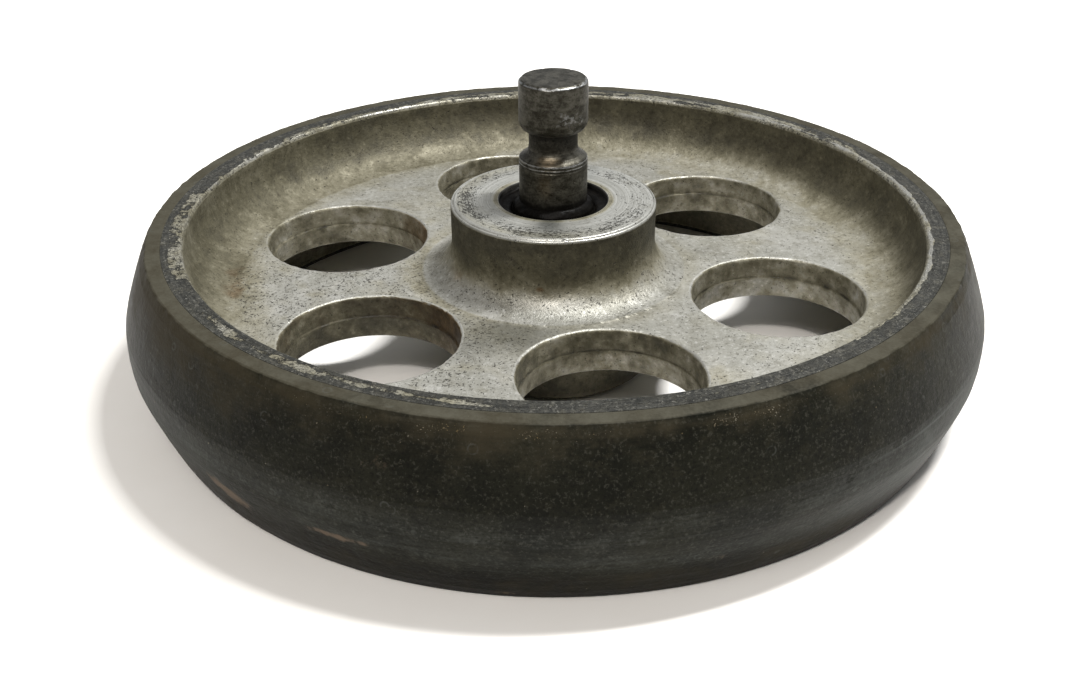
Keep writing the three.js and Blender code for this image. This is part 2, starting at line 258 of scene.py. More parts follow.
class Mat:
    """A few words for building a node material."""

    def __init__(self, name):
        self.m = bpy.data.materials.new(name)
        self.m.use_nodes = True
        self.t = self.m.node_tree
        self.t.nodes.clear()
        self.out = self.t.nodes.new("ShaderNodeOutputMaterial")
        self.bsdf = self.t.nodes.new("ShaderNodeBsdfPrincipled")
        self.t.links.new(self.bsdf.outputs[0], self.out.inputs["Surface"])
        tc = self.t.nodes.new("ShaderNodeTexCoord")
        scale = self.t.nodes.new("ShaderNodeVectorMath")
        scale.operation = "SCALE"
        scale.inputs["Scale"].default_value = 1000.0
        self.t.links.new(tc.outputs["Object"], scale.inputs[0])
        self.co = scale.outputs[0]           # the object's own coordinates in mm
        sep = self.t.nodes.new("ShaderNodeSeparateXYZ")
        self.t.links.new(self.co, sep.inputs[0])
        self.x, self.y, self.z = sep.outputs
        self.r = self.math("SQRT", self.math("ADD", self.math("MULTIPLY", self.x, self.x), self.math("MULTIPLY", self.y, self.y)))

    def put(self, socket, value):
        if hasattr(value, "is_output"):
            self.t.links.new(value, socket)
        elif isinstance(value, (tuple, list)) and len(value) == 3 and socket.type == "RGBA":
            socket.default_value = (*value, 1)
        else:
            socket.default_value = value

    def math(self, op, a, b=None, c=None, clamp=False):
        n = self.t.nodes.new("ShaderNodeMath")
        n.operation = op
        n.use_clamp = clamp
        self.put(n.inputs[0], a)
        if b is not None:
            self.put(n.inputs[1], b)
        if c is not None:
            self.put(n.inputs[2], c)
        return n.outputs[0]

    def add(self, *v):
        out = v[0]
        for k in v[1:]:
            out = self.math("ADD", out, k)
        return out

    def mul(self, *v):
        out = v[0]
        for k in v[1:]:
            out = self.math("MULTIPLY", out, k)
        return out

    def inv(self, a):
        return self.math("SUBTRACT", 1.0, a)

    def clamp(self, a):
        return self.math("ADD", a, 0.0, clamp=True)

    def step(self, a, lo, hi):
        """0 below lo, 1 above hi, smooth between (lo may be above hi)."""
        n = self.t.nodes.new("ShaderNodeMapRange")
        n.interpolation_type = "SMOOTHSTEP"
        self.put(n.inputs["Value"], a)
        if lo <= hi:
            n.inputs["From Min"].default_value, n.inputs["From Max"].default_value = lo, hi
            n.inputs["To Min"].default_value, n.inputs["To Max"].default_value = 0, 1
        else:
            n.inputs["From Min"].default_value, n.inputs["From Max"].default_value = hi, lo
            n.inputs["To Min"].default_value, n.inputs["To Max"].default_value = 1, 0
        return n.outputs[0]

    def lerp(self, a, lo, hi, x0=0.0, x1=1.0):
        n = self.t.nodes.new("ShaderNodeMapRange")
        self.put(n.inputs["Value"], a)
        n.inputs["From Min"].default_value, n.inputs["From Max"].default_value = x0, x1
        n.inputs["To Min"].default_value, n.inputs["To Max"].default_value = lo, hi
        return n.outputs[0]

    def attr(self, name):
        n = self.t.nodes.new("ShaderNodeAttribute")
        n.attribute_name = name
        return n.outputs["Fac"]

    def stretch(self, sx, sy, sz, co=None):
        n = self.t.nodes.new("ShaderNodeVectorMath")
        n.operation = "MULTIPLY"
        self.put(n.inputs[0], co or self.co)
        n.inputs[1].default_value = (sx, sy, sz)
        return n.outputs[0]

    def rings(self, k, K):
        """Coordinates that run in fine circles on a flat face: slow round the axis, fast along the radius."""
        n = self.t.nodes.new("ShaderNodeCombineXYZ")
        self.put(n.inputs[0], self.mul(self.x, k))
        self.put(n.inputs[1], self.mul(self.y, k))
        self.put(n.inputs[2], self.mul(self.r, K))
        return n.outputs[0]

    def noise(self, size, detail=3.0, rough=0.5, co=None, distortion=0.0, w=0.0):
        """Noise of about 0 to 1, with features size mm across."""
        n = self.t.nodes.new("ShaderNodeTexNoise")
        n.noise_dimensions = "4D"
        self.put(n.inputs["Vector"], co or self.co)
        n.inputs["W"].default_value = w
        n.inputs["Scale"].default_value = 1.0 / size
        n.inputs["Detail"].default_value = detail
        n.inputs["Roughness"].default_value = rough
        n.inputs["Distortion"].default_value = distortion
        return n.outputs["Fac"]

    def cells(self, size, co=None, feature="F1", randomness=1.0):
        n = self.t.nodes.new("ShaderNodeTexVoronoi")
        n.feature = feature
        self.put(n.inputs["Vector"], co or self.co)
        n.inputs["Scale"].default_value = 1.0 / size
        n.inputs["Randomness"].default_value = randomness
        return n.outputs["Distance"]

    def cell_value(self, size, co=None):
        n = self.t.nodes.new("ShaderNodeTexVoronoi")
        self.put(n.inputs["Vector"], co or self.co)
        n.inputs["Scale"].default_value = 1.0 / size
        sep = self.t.nodes.new("ShaderNodeSeparateColor")
        self.t.links.new(n.outputs["Color"], sep.inputs[0])
        return n.outputs["Distance"], sep.outputs[0]

    def mix(self, fac, a, b, mode="MIX"):
        n = self.t.nodes.new("ShaderNodeMix")
        n.data_type = "RGBA"
        n.blend_type = mode
        self.put(n.inputs["Factor"], fac)
        self.put(n.inputs[6], a)
        self.put(n.inputs[7], b)
        return n.outputs[2]

    def mixf(self, fac, a, b):
        n = self.t.nodes.new("ShaderNodeMix")
        n.data_type = "FLOAT"
        self.put(n.inputs["Factor"], fac)
        self.put(n.inputs[2], a)
        self.put(n.inputs[3], b)
        return n.outputs[0]

    def ramp(self, fac, stops):
        n = self.t.nodes.new("ShaderNodeValToRGB")
        e = n.color_ramp.elements
        while len(e) > 1:
            e.remove(e[-1])
        for k, (pos, col) in enumerate(stops):
            el = e[0] if k == 0 else e.new(pos)
            el.position = pos
            el.color = (*col, 1)
        self.put(n.inputs[0], fac)
        return n.outputs[0]

    def bump(self, *layers):
        """layers are (height, distance in mm, strength), coarse first."""
        normal = None
        for height, dist, strength in layers:
            n = self.t.nodes.new("ShaderNodeBump")
            n.inputs["Distance"].default_value = dist * MM
            n.inputs["Strength"].default_value = strength
            self.put(n.inputs["Height"], height)
            if normal is not None:
                self.t.links.new(normal, n.inputs["Normal"])
            normal = n.outputs[0]
        self.t.links.new(normal, self.bsdf.inputs["Normal"])

    def set(self, **kw):
        for k, v in kw.items():
            self.put(self.bsdf.inputs[k.replace("_", " ")], v)
        return self


def wear_on(ob, mat, body=None, nodes=()):
    ob.data.materials.clear()
    ob.data.materials.append(mat)
    if nodes:
        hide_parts(*nodes)
    if body:
        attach(ob, body)
    return ob


# ================================================================ materials


def cast_material():
    m = Mat("cast_aluminium")
    stain_and_painted_light, wear_and_highlight, machined = m.attr("stain_and_painted_light"), m.attr("wear_and_highlight"), m.attr("machined")
    smear, grime, rust = m.attr("smear"), m.attr("grime"), m.attr("rust")

    # bare sand-cast skin: mottled grey, a little warm, broken up at every scale
    big = m.noise(34, 4, 0.6, w=1.0)
    mid = m.noise(7.5, 5, 0.66, w=2.0)
    fine = m.noise(1.7, 4, 0.70, w=3.0)
    skin = m.mix(m.step(big, 0.35, 0.66), (0.292, 0.290, 0.260), (0.352, 0.350, 0.322))
    skin = m.mix(m.mul(m.step(mid, 0.50, 0.66), 0.55), skin, (0.200, 0.194, 0.163))
    skin = m.mix(m.mul(m.step(mid, 0.46, 0.32), 0.50), skin, (0.470, 0.470, 0.448))
    skin = m.mix(m.mul(m.step(fine, 0.53, 0.66), 0.62), skin, (0.140, 0.136, 0.113))
    skin = m.mix(m.mul(m.step(fine, 0.46, 0.33), 0.55), skin, (0.540, 0.540, 0.515))

    # machined faces: cleaner and greyer, with fine turning lines and handling stains
    turn = m.noise(1.0, 3, 0.6, co=m.rings(0.03, 2.2), w=4.0)
    cut = m.mix(m.step(turn, 0.35, 0.65), (0.310, 0.312, 0.288), (0.450, 0.454, 0.430))
    cut = m.mix(m.mul(m.step(mid, 0.50, 0.68), 0.50), cut, (0.230, 0.224, 0.192))
    cut = m.mix(m.mul(m.step(fine, 0.54, 0.72), 0.40), cut, (0.120, 0.116, 0.098))
    base = m.mix(machined, skin, cut)

    # grease stain: straw where thin, olive brown where thick; the same stain also carries painted shade under the wheel
    # and in front of the hub, and is thinned for a painted highlight on the hub's fillet
    blot = m.noise(11, 5, 0.66, w=5.0)
    blot2 = m.noise(2.6, 4, 0.66, w=6.0)
    win = m.step(stain_and_painted_light, 0.02, 0.35)
    amount = m.clamp(m.add(stain_and_painted_light, m.mul(m.math("SUBTRACT", blot, 0.5), 1.15, win),
                           m.mul(m.math("SUBTRACT", blot2, 0.5), 0.45, win)))
    tint = m.ramp(amount, [(0.0, (1, 1, 1)), (0.22, (0.86, 0.835, 0.755)), (0.45, (0.60, 0.565, 0.455)),
                           (0.72, (0.335, 0.310, 0.228)), (1.0, (0.185, 0.172, 0.130))])
    base = m.mix(1.0, base, tint, "MULTIPLY")
    r_amount = m.clamp(m.add(rust, m.mul(m.math("SUBTRACT", blot, 0.5), 1.1, m.step(rust, 0.02, 0.3)),
                             m.mul(m.math("SUBTRACT", blot2, 0.5), 0.5, m.step(rust, 0.02, 0.3))))
    base = m.mix(m.mul(m.step(r_amount, 0.2, 0.9), 0.8), base, m.mix(1.0, base, (0.62, 0.40, 0.24), "MULTIPLY"))

    # painted shade: greyer colour where the casting's shade attribute is painted
    base = m.mix(m.step(m.attr("painted_shade"), 0.0, 1.0), base, m.mix(1.0, base, (0.36, 0.37, 0.37), "MULTIPLY"))

    # dark grime, oily black in the bore
    g = m.clamp(m.add(grime, m.mul(m.math("SUBTRACT", mid, 0.5), 0.9, m.step(grime, 0.02, 0.35))))
    base = m.mix(m.mul(m.step(g, 0.10, 1.0), 0.97), base, (0.009, 0.008, 0.0065))

    # pits: scattered everywhere, dense where the skin is rough
    pn = m.noise(0.85, 2, 0.5, w=13.0)
    pn2 = m.noise(1.5, 3, 0.6, w=14.0)
    where = m.noise(14, 3, 0.6, w=15.0)
    dense = m.clamp(m.add(m.attr("pitted"), m.mul(m.math("SUBTRACT", where, 0.5), 1.4)))
    pit = m.step(m.add(pn, m.mul(dense, 0.11)), 0.675, 0.715)
    pit2 = m.step(m.add(pn2, m.mul(dense, 0.12)), 0.700, 0.740)
    # short torn scratches that run round the machined face
    tn = m.noise(1.0, 3, 0.62, co=m.rings(0.70, 1.55), w=16.0)
    torn = m.mul(m.step(m.add(tn, m.mul(dense, 0.16)), 0.640, 0.670), machined)
    pits = m.math("MAXIMUM", m.math("MAXIMUM", m.mul(pit, 0.8), pit2), torn)
    base = m.mix(m.mul(pits, 0.86), base, (0.026, 0.024, 0.019))

    # bright rubbed metal on edges and proud places, and painted highlights on the hole edges, the rim's lip and the
    # hub's fillet
    w_ = m.step(wear_and_highlight, 0.02, 0.25)
    rub_and_highlight = m.add(wear_and_highlight, m.mul(m.math("SUBTRACT", fine, 0.5), 0.8, w_), m.mul(m.math("SUBTRACT", mid, 0.5), 0.9, w_))
    rub_and_highlight = m.step(rub_and_highlight, 0.25, 0.80)
    base = m.mix(m.mul(rub_and_highlight, 0.80), base, (0.42, 0.418, 0.392))

    # rubber smeared over the rim's side faces, thin and torn at its edges
    tear = m.noise(3.2, 6, 0.76, w=7.0, distortion=0.5)
    tear2 = m.noise(1.1, 3, 0.6, co=m.rings(0.30, 0.8), w=8.0)
    cover = m.step(m.add(smear, m.mul(m.math("SUBTRACT", tear, 0.5), 1.5), m.mul(m.math("SUBTRACT", tear2, 0.5), 0.7)), 0.42, 0.56)
    drag = m.noise(1.0, 4, 0.65, co=m.rings(0.06, 1.1), w=9.0)
    film = m.mix(m.step(drag, 0.38, 0.64), (0.011, 0.0118, 0.0105), (0.032, 0.033, 0.030))
    film = m.mix(m.mul(m.step(blot2, 0.50, 0.68), 0.65), film, (0.056, 0.054, 0.042))
    film = m.mix(m.mul(m.step(fine, 0.55, 0.63), 0.6), film, (0.105, 0.103, 0.090))
    grit = m.noise(0.8, 3, 0.62, w=17.0)
    film = m.mix(m.mul(m.step(grit, 0.60, 0.66), 0.65), film, (0.175, 0.172, 0.155))
    film = m.mix(m.mul(m.step(grit, 0.42, 0.36), 0.8), film, (0.006, 0.006, 0.005))
    film = m.mix(m.mul(m.step(fine, 0.44, 0.30), 0.7), film, (0.012, 0.012, 0.010))
    base = m.mix(m.mul(cover, m.lerp(tear, 0.86, 1.0, 0.3, 0.6)), base, film)

    m.set(Base_Color=base)
    metal = m.mixf(machined, 0.50, 0.55)
    metal = m.mul(metal, m.lerp(amount, 1.0, 0.25), m.lerp(g, 1.0, 0.0))
    metal = m.mixf(cover, m.mixf(rub_and_highlight, metal, 0.72), 0.0)
    m.set(Metallic=metal)
    rough = m.mixf(machined, m.lerp(fine, 0.38, 0.56), m.lerp(turn, 0.32, 0.46))
    rough = m.mixf(m.step(amount, 0.1, 0.7), rough, m.lerp(blot2, 0.42, 0.64))
    rough = m.mixf(m.step(g, 0.2, 0.9), rough, 0.42)
    rough = m.mixf(rub_and_highlight, rough, 0.36)
    rough = m.mixf(cover, rough, m.lerp(drag, 0.44, 0.66))
    m.set(Roughness=rough)
    m.bsdf.inputs["IOR"].default_value = 1.42
    m.bsdf.inputs["Specular IOR Level"].default_value = 0.3

    grain = m.mul(m.noise(0.8, 3, 0.6, w=11.0), m.inv(m.mul(machined, 0.8)))
    soft = m.mul(m.noise(4.2, 4, 0.62, w=12.0), m.inv(m.mul(machined, 0.9)))
    m.bump((soft, 0.9, 0.28), (grain, 0.36, 0.62), (m.mul(pits, -1.0), 0.40, 0.9),
           (m.mul(turn, machined), 0.08, 0.45), (cover, 0.35, 0.9), (m.mul(drag, cover), 0.22, 0.6))
    return m.m


def tyre_material():
    m = Mat("tyre_rubber")
    dust_and_sheen, brown, crumb, scuff = m.attr("dust_and_sheen"), m.attr("brown"), m.attr("crumb"), m.attr("scuff")

    streak = m.noise(1.0, 4, 0.66, co=m.stretch(0.05, 0.05, 0.9), w=1.0)
    streak2 = m.noise(1.0, 3, 0.62, co=m.stretch(0.12, 0.12, 2.6), w=2.0)
    cloud = m.noise(24, 5, 0.66, w=3.0)
    cloud2 = m.noise(6, 4, 0.66, w=12.0)
    speck = m.noise(0.9, 3, 0.62, w=4.0)
    base = m.mix(m.step(cloud, 0.36, 0.64), (0.0056, 0.0060, 0.0038), (0.0118, 0.0120, 0.0074))
    base = m.mix(m.mul(m.step(cloud2, 0.50, 0.66), 0.55), base, (0.0165, 0.0158, 0.0098))
    base = m.mix(m.mul(m.step(speck, 0.54, 0.66), 0.75), base, (0.032, 0.0315, 0.0250))
    base = m.mix(m.mul(m.step(speck, 0.46, 0.36), 0.60), base, (0.0022, 0.0022, 0.0016))

    # painted shade: greyer rubber where the tyre's shade attribute is painted
    base = m.mix(m.attr("painted_shade"), base, m.mix(1.0, base, (0.34, 0.34, 0.34), "MULTIPLY"))

    # brown, ingrained dirt
    bw = m.step(brown, 0.02, 0.3)
    b = m.clamp(m.add(brown, m.mul(m.math("SUBTRACT", cloud, 0.5), 1.1, bw), m.mul(m.math("SUBTRACT", cloud2, 0.5), 0.7, bw),
                      m.mul(m.math("SUBTRACT", streak, 0.5), 0.5, bw)))
    base = m.mix(m.mul(m.step(b, 0.1, 1.0), 0.92), base, (0.0290, 0.0240, 0.0140))

    # grey bloom and floor dust, dragged round the tread, with painted sheen on the tyre's sides and streaks near its
    # outline
    dw = m.step(dust_and_sheen, 0.02, 0.3)
    d = m.clamp(m.add(dust_and_sheen, m.mul(m.math("SUBTRACT", streak, 0.5), 0.7, dw), m.mul(m.math("SUBTRACT", streak2, 0.5), 0.35, dw),
                      m.mul(m.math("SUBTRACT", cloud2, 0.5), 0.6, dw), m.mul(m.math("SUBTRACT", speck, 0.5), 0.45, dw)))
    base = m.mix(m.mul(m.step(d, 0.05, 1.0), 0.9), base, m.mix(m.step(brown, 0.12, 0.55), (0.066, 0.0715, 0.067), (0.072, 0.070, 0.054)))

    # tan scuffs
    s = m.clamp(m.add(scuff, m.mul(m.math("SUBTRACT", m.noise(4, 4, 0.68, w=5.0), 0.5), 1.3, m.step(scuff, 0.02, 0.3))))
    base = m.mix(m.mul(m.step(s, 0.42, 0.85), 0.8), base, (0.120, 0.088, 0.062))

    # crumbs and swarf pressed in along the shoulder, and single specks anywhere
    cn = m.noise(0.62, 3, 0.62, w=15.0)
    crumbs = m.step(m.add(cn, m.mul(crumb, 0.18)), 0.750, 0.800)
    ln = m.noise(1.6, 1, 0.4, w=16.0)
    lone = m.step(ln, 0.775, 0.815)
    bits = m.math("MAXIMUM", crumbs, m.mul(lone, 0.75))
    base = m.mix(m.mul(bits, 0.60), base, m.mix(m.step(cloud2, 0.4, 0.6), (0.155, 0.115, 0.055), (0.270, 0.250, 0.195)))

    # faint rings left by dried drops
    rd, rv = m.cell_value(9.0, co=m.stretch(1.0, 1.0, 1.05))
    ring = m.mul(m.math("SUBTRACT", m.step(rd, 0.120, 0.150), m.step(rd, 0.165, 0.205)), m.step(rv, 0.50, 0.55),
                 m.step(m.noise(2.4, 2, 0.5, w=6.0), 0.42, 0.58))
    base = m.mix(m.mul(ring, 0.32), base, (0.070, 0.074, 0.068))

    m.set(Base_Color=base, Metallic=0.0)
    rough = m.lerp(cloud2, 0.38, 0.56)
    rough = m.mixf(m.step(d, 0.05, 0.9), rough, 0.60)
    rough = m.mixf(m.step(b, 0.1, 1.0), rough, 0.64)
    m.set(Roughness=rough)
    m.bsdf.inputs["IOR"].default_value = 1.42
    m.bsdf.inputs["Specular IOR Level"].default_value = 0.11
    m.bump((cloud2, 0.9, 0.40), (streak, 0.25, 0.30), (streak2, 0.08, 0.30),
           (speck, 0.16, 0.45), (bits, 0.35, 0.8))
    return m.m


def spindle_material():
    m = Mat("spindle_steel")
    grease_and_painted_shade, polish_and_highlight, warm = m.attr("grease_and_painted_shade"), m.attr("polish_and_highlight"), m.attr("warm")
    lines = m.noise(1.0, 3, 0.6, co=m.stretch(0.10, 0.10, 3.0), w=1.0)
    blot = m.add(m.mul(m.noise(3.4, 5, 0.72, w=2.0), 0.62), m.mul(m.noise(1.0, 4, 0.66, co=m.stretch(0.16, 0.16, 0.55), w=5.0), 0.38))
    fine = m.noise(1.0, 4, 0.68, w=3.0)
    base = m.mix(m.step(blot, 0.40, 0.60), (0.030, 0.028, 0.0215), (0.108, 0.103, 0.086))
    base = m.mix(m.mul(m.step(lines, 0.52, 0.68), 0.25), base, (0.15, 0.145, 0.125))
    base = m.mix(m.mul(m.step(fine, 0.52, 0.66), 0.65), base, (0.020, 0.018, 0.013))
    # bare polished patches on the head, and painted highlight lines on its edges
    pw = m.step(polish_and_highlight, 0.02, 0.3)
    p = m.add(polish_and_highlight, m.mul(m.math("SUBTRACT", blot, 0.5), 1.7, pw), m.mul(m.math("SUBTRACT", fine, 0.5), 1.3, pw))
    p = m.step(p, 0.40, 0.72)
    base = m.mix(m.mul(p, 0.85), base, m.mix(m.step(fine, 0.4, 0.6), (0.44, 0.45, 0.46), (0.24, 0.245, 0.245)))
    base = m.mix(m.mul(m.step(warm, 0.05, 1.0), m.lerp(fine, 0.85, 0.25, 0.35, 0.65)), base, (0.26, 0.19, 0.11))
    # grease and painted shade: near-black where the dark attribute is painted
    dw = m.step(grease_and_painted_shade, 0.02, 0.3)
    d = m.clamp(m.add(grease_and_painted_shade, m.mul(m.math("SUBTRACT", blot, 0.5), 1.0, dw), m.mul(m.math("SUBTRACT", fine, 0.5), 0.6, dw)))
    base = m.mix(m.mul(m.step(d, 0.15, 0.95), 0.95), base, (0.0026, 0.0022, 0.0017))
    pit = m.step(m.noise(0.8, 2, 0.5, w=4.0), 0.66, 0.71)
    base = m.mix(m.mul(pit, 0.8), base, (0.018, 0.016, 0.012))
    m.set(Base_Color=base, Metallic=m.lerp(m.step(d, 0.15, 0.95), 0.92, 0.0))
    m.bsdf.inputs["Specular IOR Level"].default_value = 0.10
    rough = m.lerp(fine, 0.36, 0.54)
    rough = m.mixf(p, rough, 0.38)
    rough = m.mixf(m.step(d, 0.15, 0.95), rough, 0.50)
    m.set(Roughness=rough)
    m.bump((blot, 0.30, 0.45), (lines, 0.10, 0.5), (fine, 0.14, 0.45), (m.mul(pit, -1.0), 0.25, 0.8))
    return m.m


def grease_material():
    m = Mat("black_grease")
    n = m.noise(2.5, 4, 0.6, w=1.0)
    base = m.mix(m.step(n, 0.35, 0.7), (0.0015, 0.0013, 0.0011), (0.0050, 0.0043, 0.0034))
    m.set(Base_Color=base, Metallic=0.0, Roughness=m.lerp(n, 0.32, 0.56))
    m.bsdf.inputs["IOR"].default_value = 1.14
    m.bsdf.inputs["Specular IOR Level"].default_value = 0.5
    m.bump((n, 0.5, 0.5), (m.noise(0.8, 2, 0.5, w=2.0), 0.12, 0.4))
    return m.m


def seal_rubber_material():
    m = Mat("seal_rubber")
    n = m.noise(1.6, 3, 0.6, w=1.0)
    rings = m.noise(1.0, 2, 0.5, co=m.rings(0.05, 2.0), w=2.0)
    base = m.mix(m.step(n, 0.35, 0.7), (0.010, 0.0095, 0.009), (0.024, 0.022, 0.019))
    m.set(Base_Color=base, Metallic=0.0, Roughness=m.lerp(n, 0.30, 0.48))
    m.bump((rings, 0.12, 0.5), (n, 0.12, 0.4))
    return m.m


def steel_material(name, light, deep, rough, line=2.5, spot=0.0, warm=(1, 1, 1)):
    """Turned, ground or pressed steel: fine circular lines, faint blotches, tiny marks."""
    m = Mat(name)
    rings = m.noise(1.0, 2, 0.6, co=m.rings(0.06, line), w=1.0)
    band = m.noise(1.0, 2, 0.6, co=m.stretch(0.06, 0.06, line), w=2.0)
    lines = m.mul(m.add(rings, band), 0.5)
    blot = m.noise(5, 4, 0.6, w=3.0)
    fine = m.noise(0.7, 3, 0.6, w=4.0)
    base = m.mix(m.step(lines, 0.38, 0.62), deep, light)
    base = m.mix(m.mul(m.step(blot, 0.48, 0.72), 0.45), base, tuple(0.62 * d * w for d, w in zip(deep, warm)))
    pd, pv = m.cell_value(1.4)
    pit = m.mul(m.step(pd, 0.2, 0.08), m.step(pv, 0.75, 0.8))
    base = m.mix(m.mul(pit, 0.35 + spot), base, (0.06, 0.05, 0.04))
    m.set(Base_Color=base, Metallic=1.0, Roughness=m.lerp(fine, rough - 0.05, rough + 0.08))
    m.bump((lines, 0.05, 0.45), (fine, 0.05, 0.25), (m.mul(pit, -1.0), 0.12, 0.5))
    return m.m


MAT = {
    "cast": cast_material(),
    "tyre": tyre_material(),
    "spindle": spindle_material(),
    "grease": grease_material(),
    "seal": seal_rubber_material(),
    "race": steel_material("bearing_steel", (0.74, 0.75, 0.76), (0.56, 0.57, 0.58), 0.18, 3.5),
    "ball": steel_material("ball_steel", (0.78, 0.79, 0.80), (0.70, 0.71, 0.72), 0.10, 0.6),
    "cage": steel_material("cage_steel", (0.62, 0.60, 0.55), (0.42, 0.40, 0.36), 0.34, 1.2, 0.2, (1.0, 0.9, 0.75)),
    "plate": steel_material("plated_steel", (0.52, 0.52, 0.50), (0.36, 0.36, 0.34), 0.38, 1.2, 0.2, (1.0, 0.95, 0.85)),
    "spacer": steel_material("spacer_steel", (0.46, 0.46, 0.45), (0.30, 0.30, 0.29), 0.34, 2.2, 0.2, (1.0, 0.92, 0.8)),
    "spring": steel_material("spring_steel", (0.20, 0.20, 0.21), (0.10, 0.10, 0.105), 0.36, 1.6, 0.1),
}

# ================================================================== casting

WEB_TOP, WEB_BOTTOM = 38.9, 22.3
HOLE_R, HOLE_EDGE = 30.75, 32.4
HOLE_PITCH = 85.3
HOLES = [(HOLE_PITCH * math.cos(math.radians(42.7 + 60 * k)), HOLE_PITCH * math.sin(math.radians(42.7 + 60 * k))) for k in range(6)]
R_HUB, R_RIM = 50.0, 118.4
RIM_FILLET_R0 = 117.3


def web_points(n_in, n_out, n_hole, step):
    """Triangles over the flat web between the hub fillet, the rim fillet and the six hole edges."""
    pts, edges = [], []

    def circle(cx, cy, r, n, ph=0.0):
        s = len(pts)
        for k in range(n):
            a = TAU * k / n + ph
            pts.append((cx + r * math.cos(a), cy + r * math.sin(a)))
        edges.extend((s + k, s + (k + 1) % n) for k in range(n))

    circle(0, 0, R_HUB, n_in)
    circle(0, 0, R_RIM, n_out)
    for cx, cy in HOLES:
        circle(cx, cy, HOLE_EDGE, n_hole)
    rings = []
    for ring_r, n in ((R_HUB + 0.9, n_in), (R_RIM - 0.9, n_out)):
        for k in range(n):
            a = TAU * (k + 0.5) / n
            rings.append((ring_r * math.cos(a), ring_r * math.sin(a)))
    rows = int(2 * R_RIM / (step * 0.866)) + 2
    grid = []
    for j in range(rows):
        y = -R_RIM + j * step * 0.866
        for i in range(int(2 * R_RIM / step) + 2):
            x = -R_RIM + i * step + (0.5 * step if j % 2 else 0)
            grid.append((x, y))
    grid = np.array(grid)
    r = np.hypot(grid[:, 0], grid[:, 1])
    ok = (r > R_HUB + 1.6) & (r < R_RIM - 1.6)
    rings = np.array(rings)
    okr = np.ones(len(rings), bool)
    for cx, cy in HOLES:
        ok &= np.hypot(grid[:, 0] - cx, grid[:, 1] - cy) > HOLE_EDGE + 0.8
        okr &= np.hypot(rings[:, 0] - cx, rings[:, 1] - cy) > HOLE_EDGE + 0.7
    pts2 = pts + rings[okr].tolist() + grid[ok].tolist()
    v, _, f, _, _, _ = delaunay_2d_cdt([Vector(p) for p in pts2], edges, [], 0, 1e-7)
    v = np.array([tuple(p) for p in v])
    f = np.array([t for t in f if len(t) == 3])
    c = v[f].mean(1)
    rc = np.hypot(c[:, 0], c[:, 1])
    keep = (rc > R_HUB * 0.9995) & (rc < R_RIM)
    for cx, cy in HOLES:
        keep &= np.hypot(c[:, 0] - cx, c[:, 1] - cy) > HOLE_EDGE * 0.9996
    f = f[keep]
    used = np.unique(f)
    back = -np.ones(len(v), int)
    back[used] = np.arange(len(used))
    return v[used], back[f]


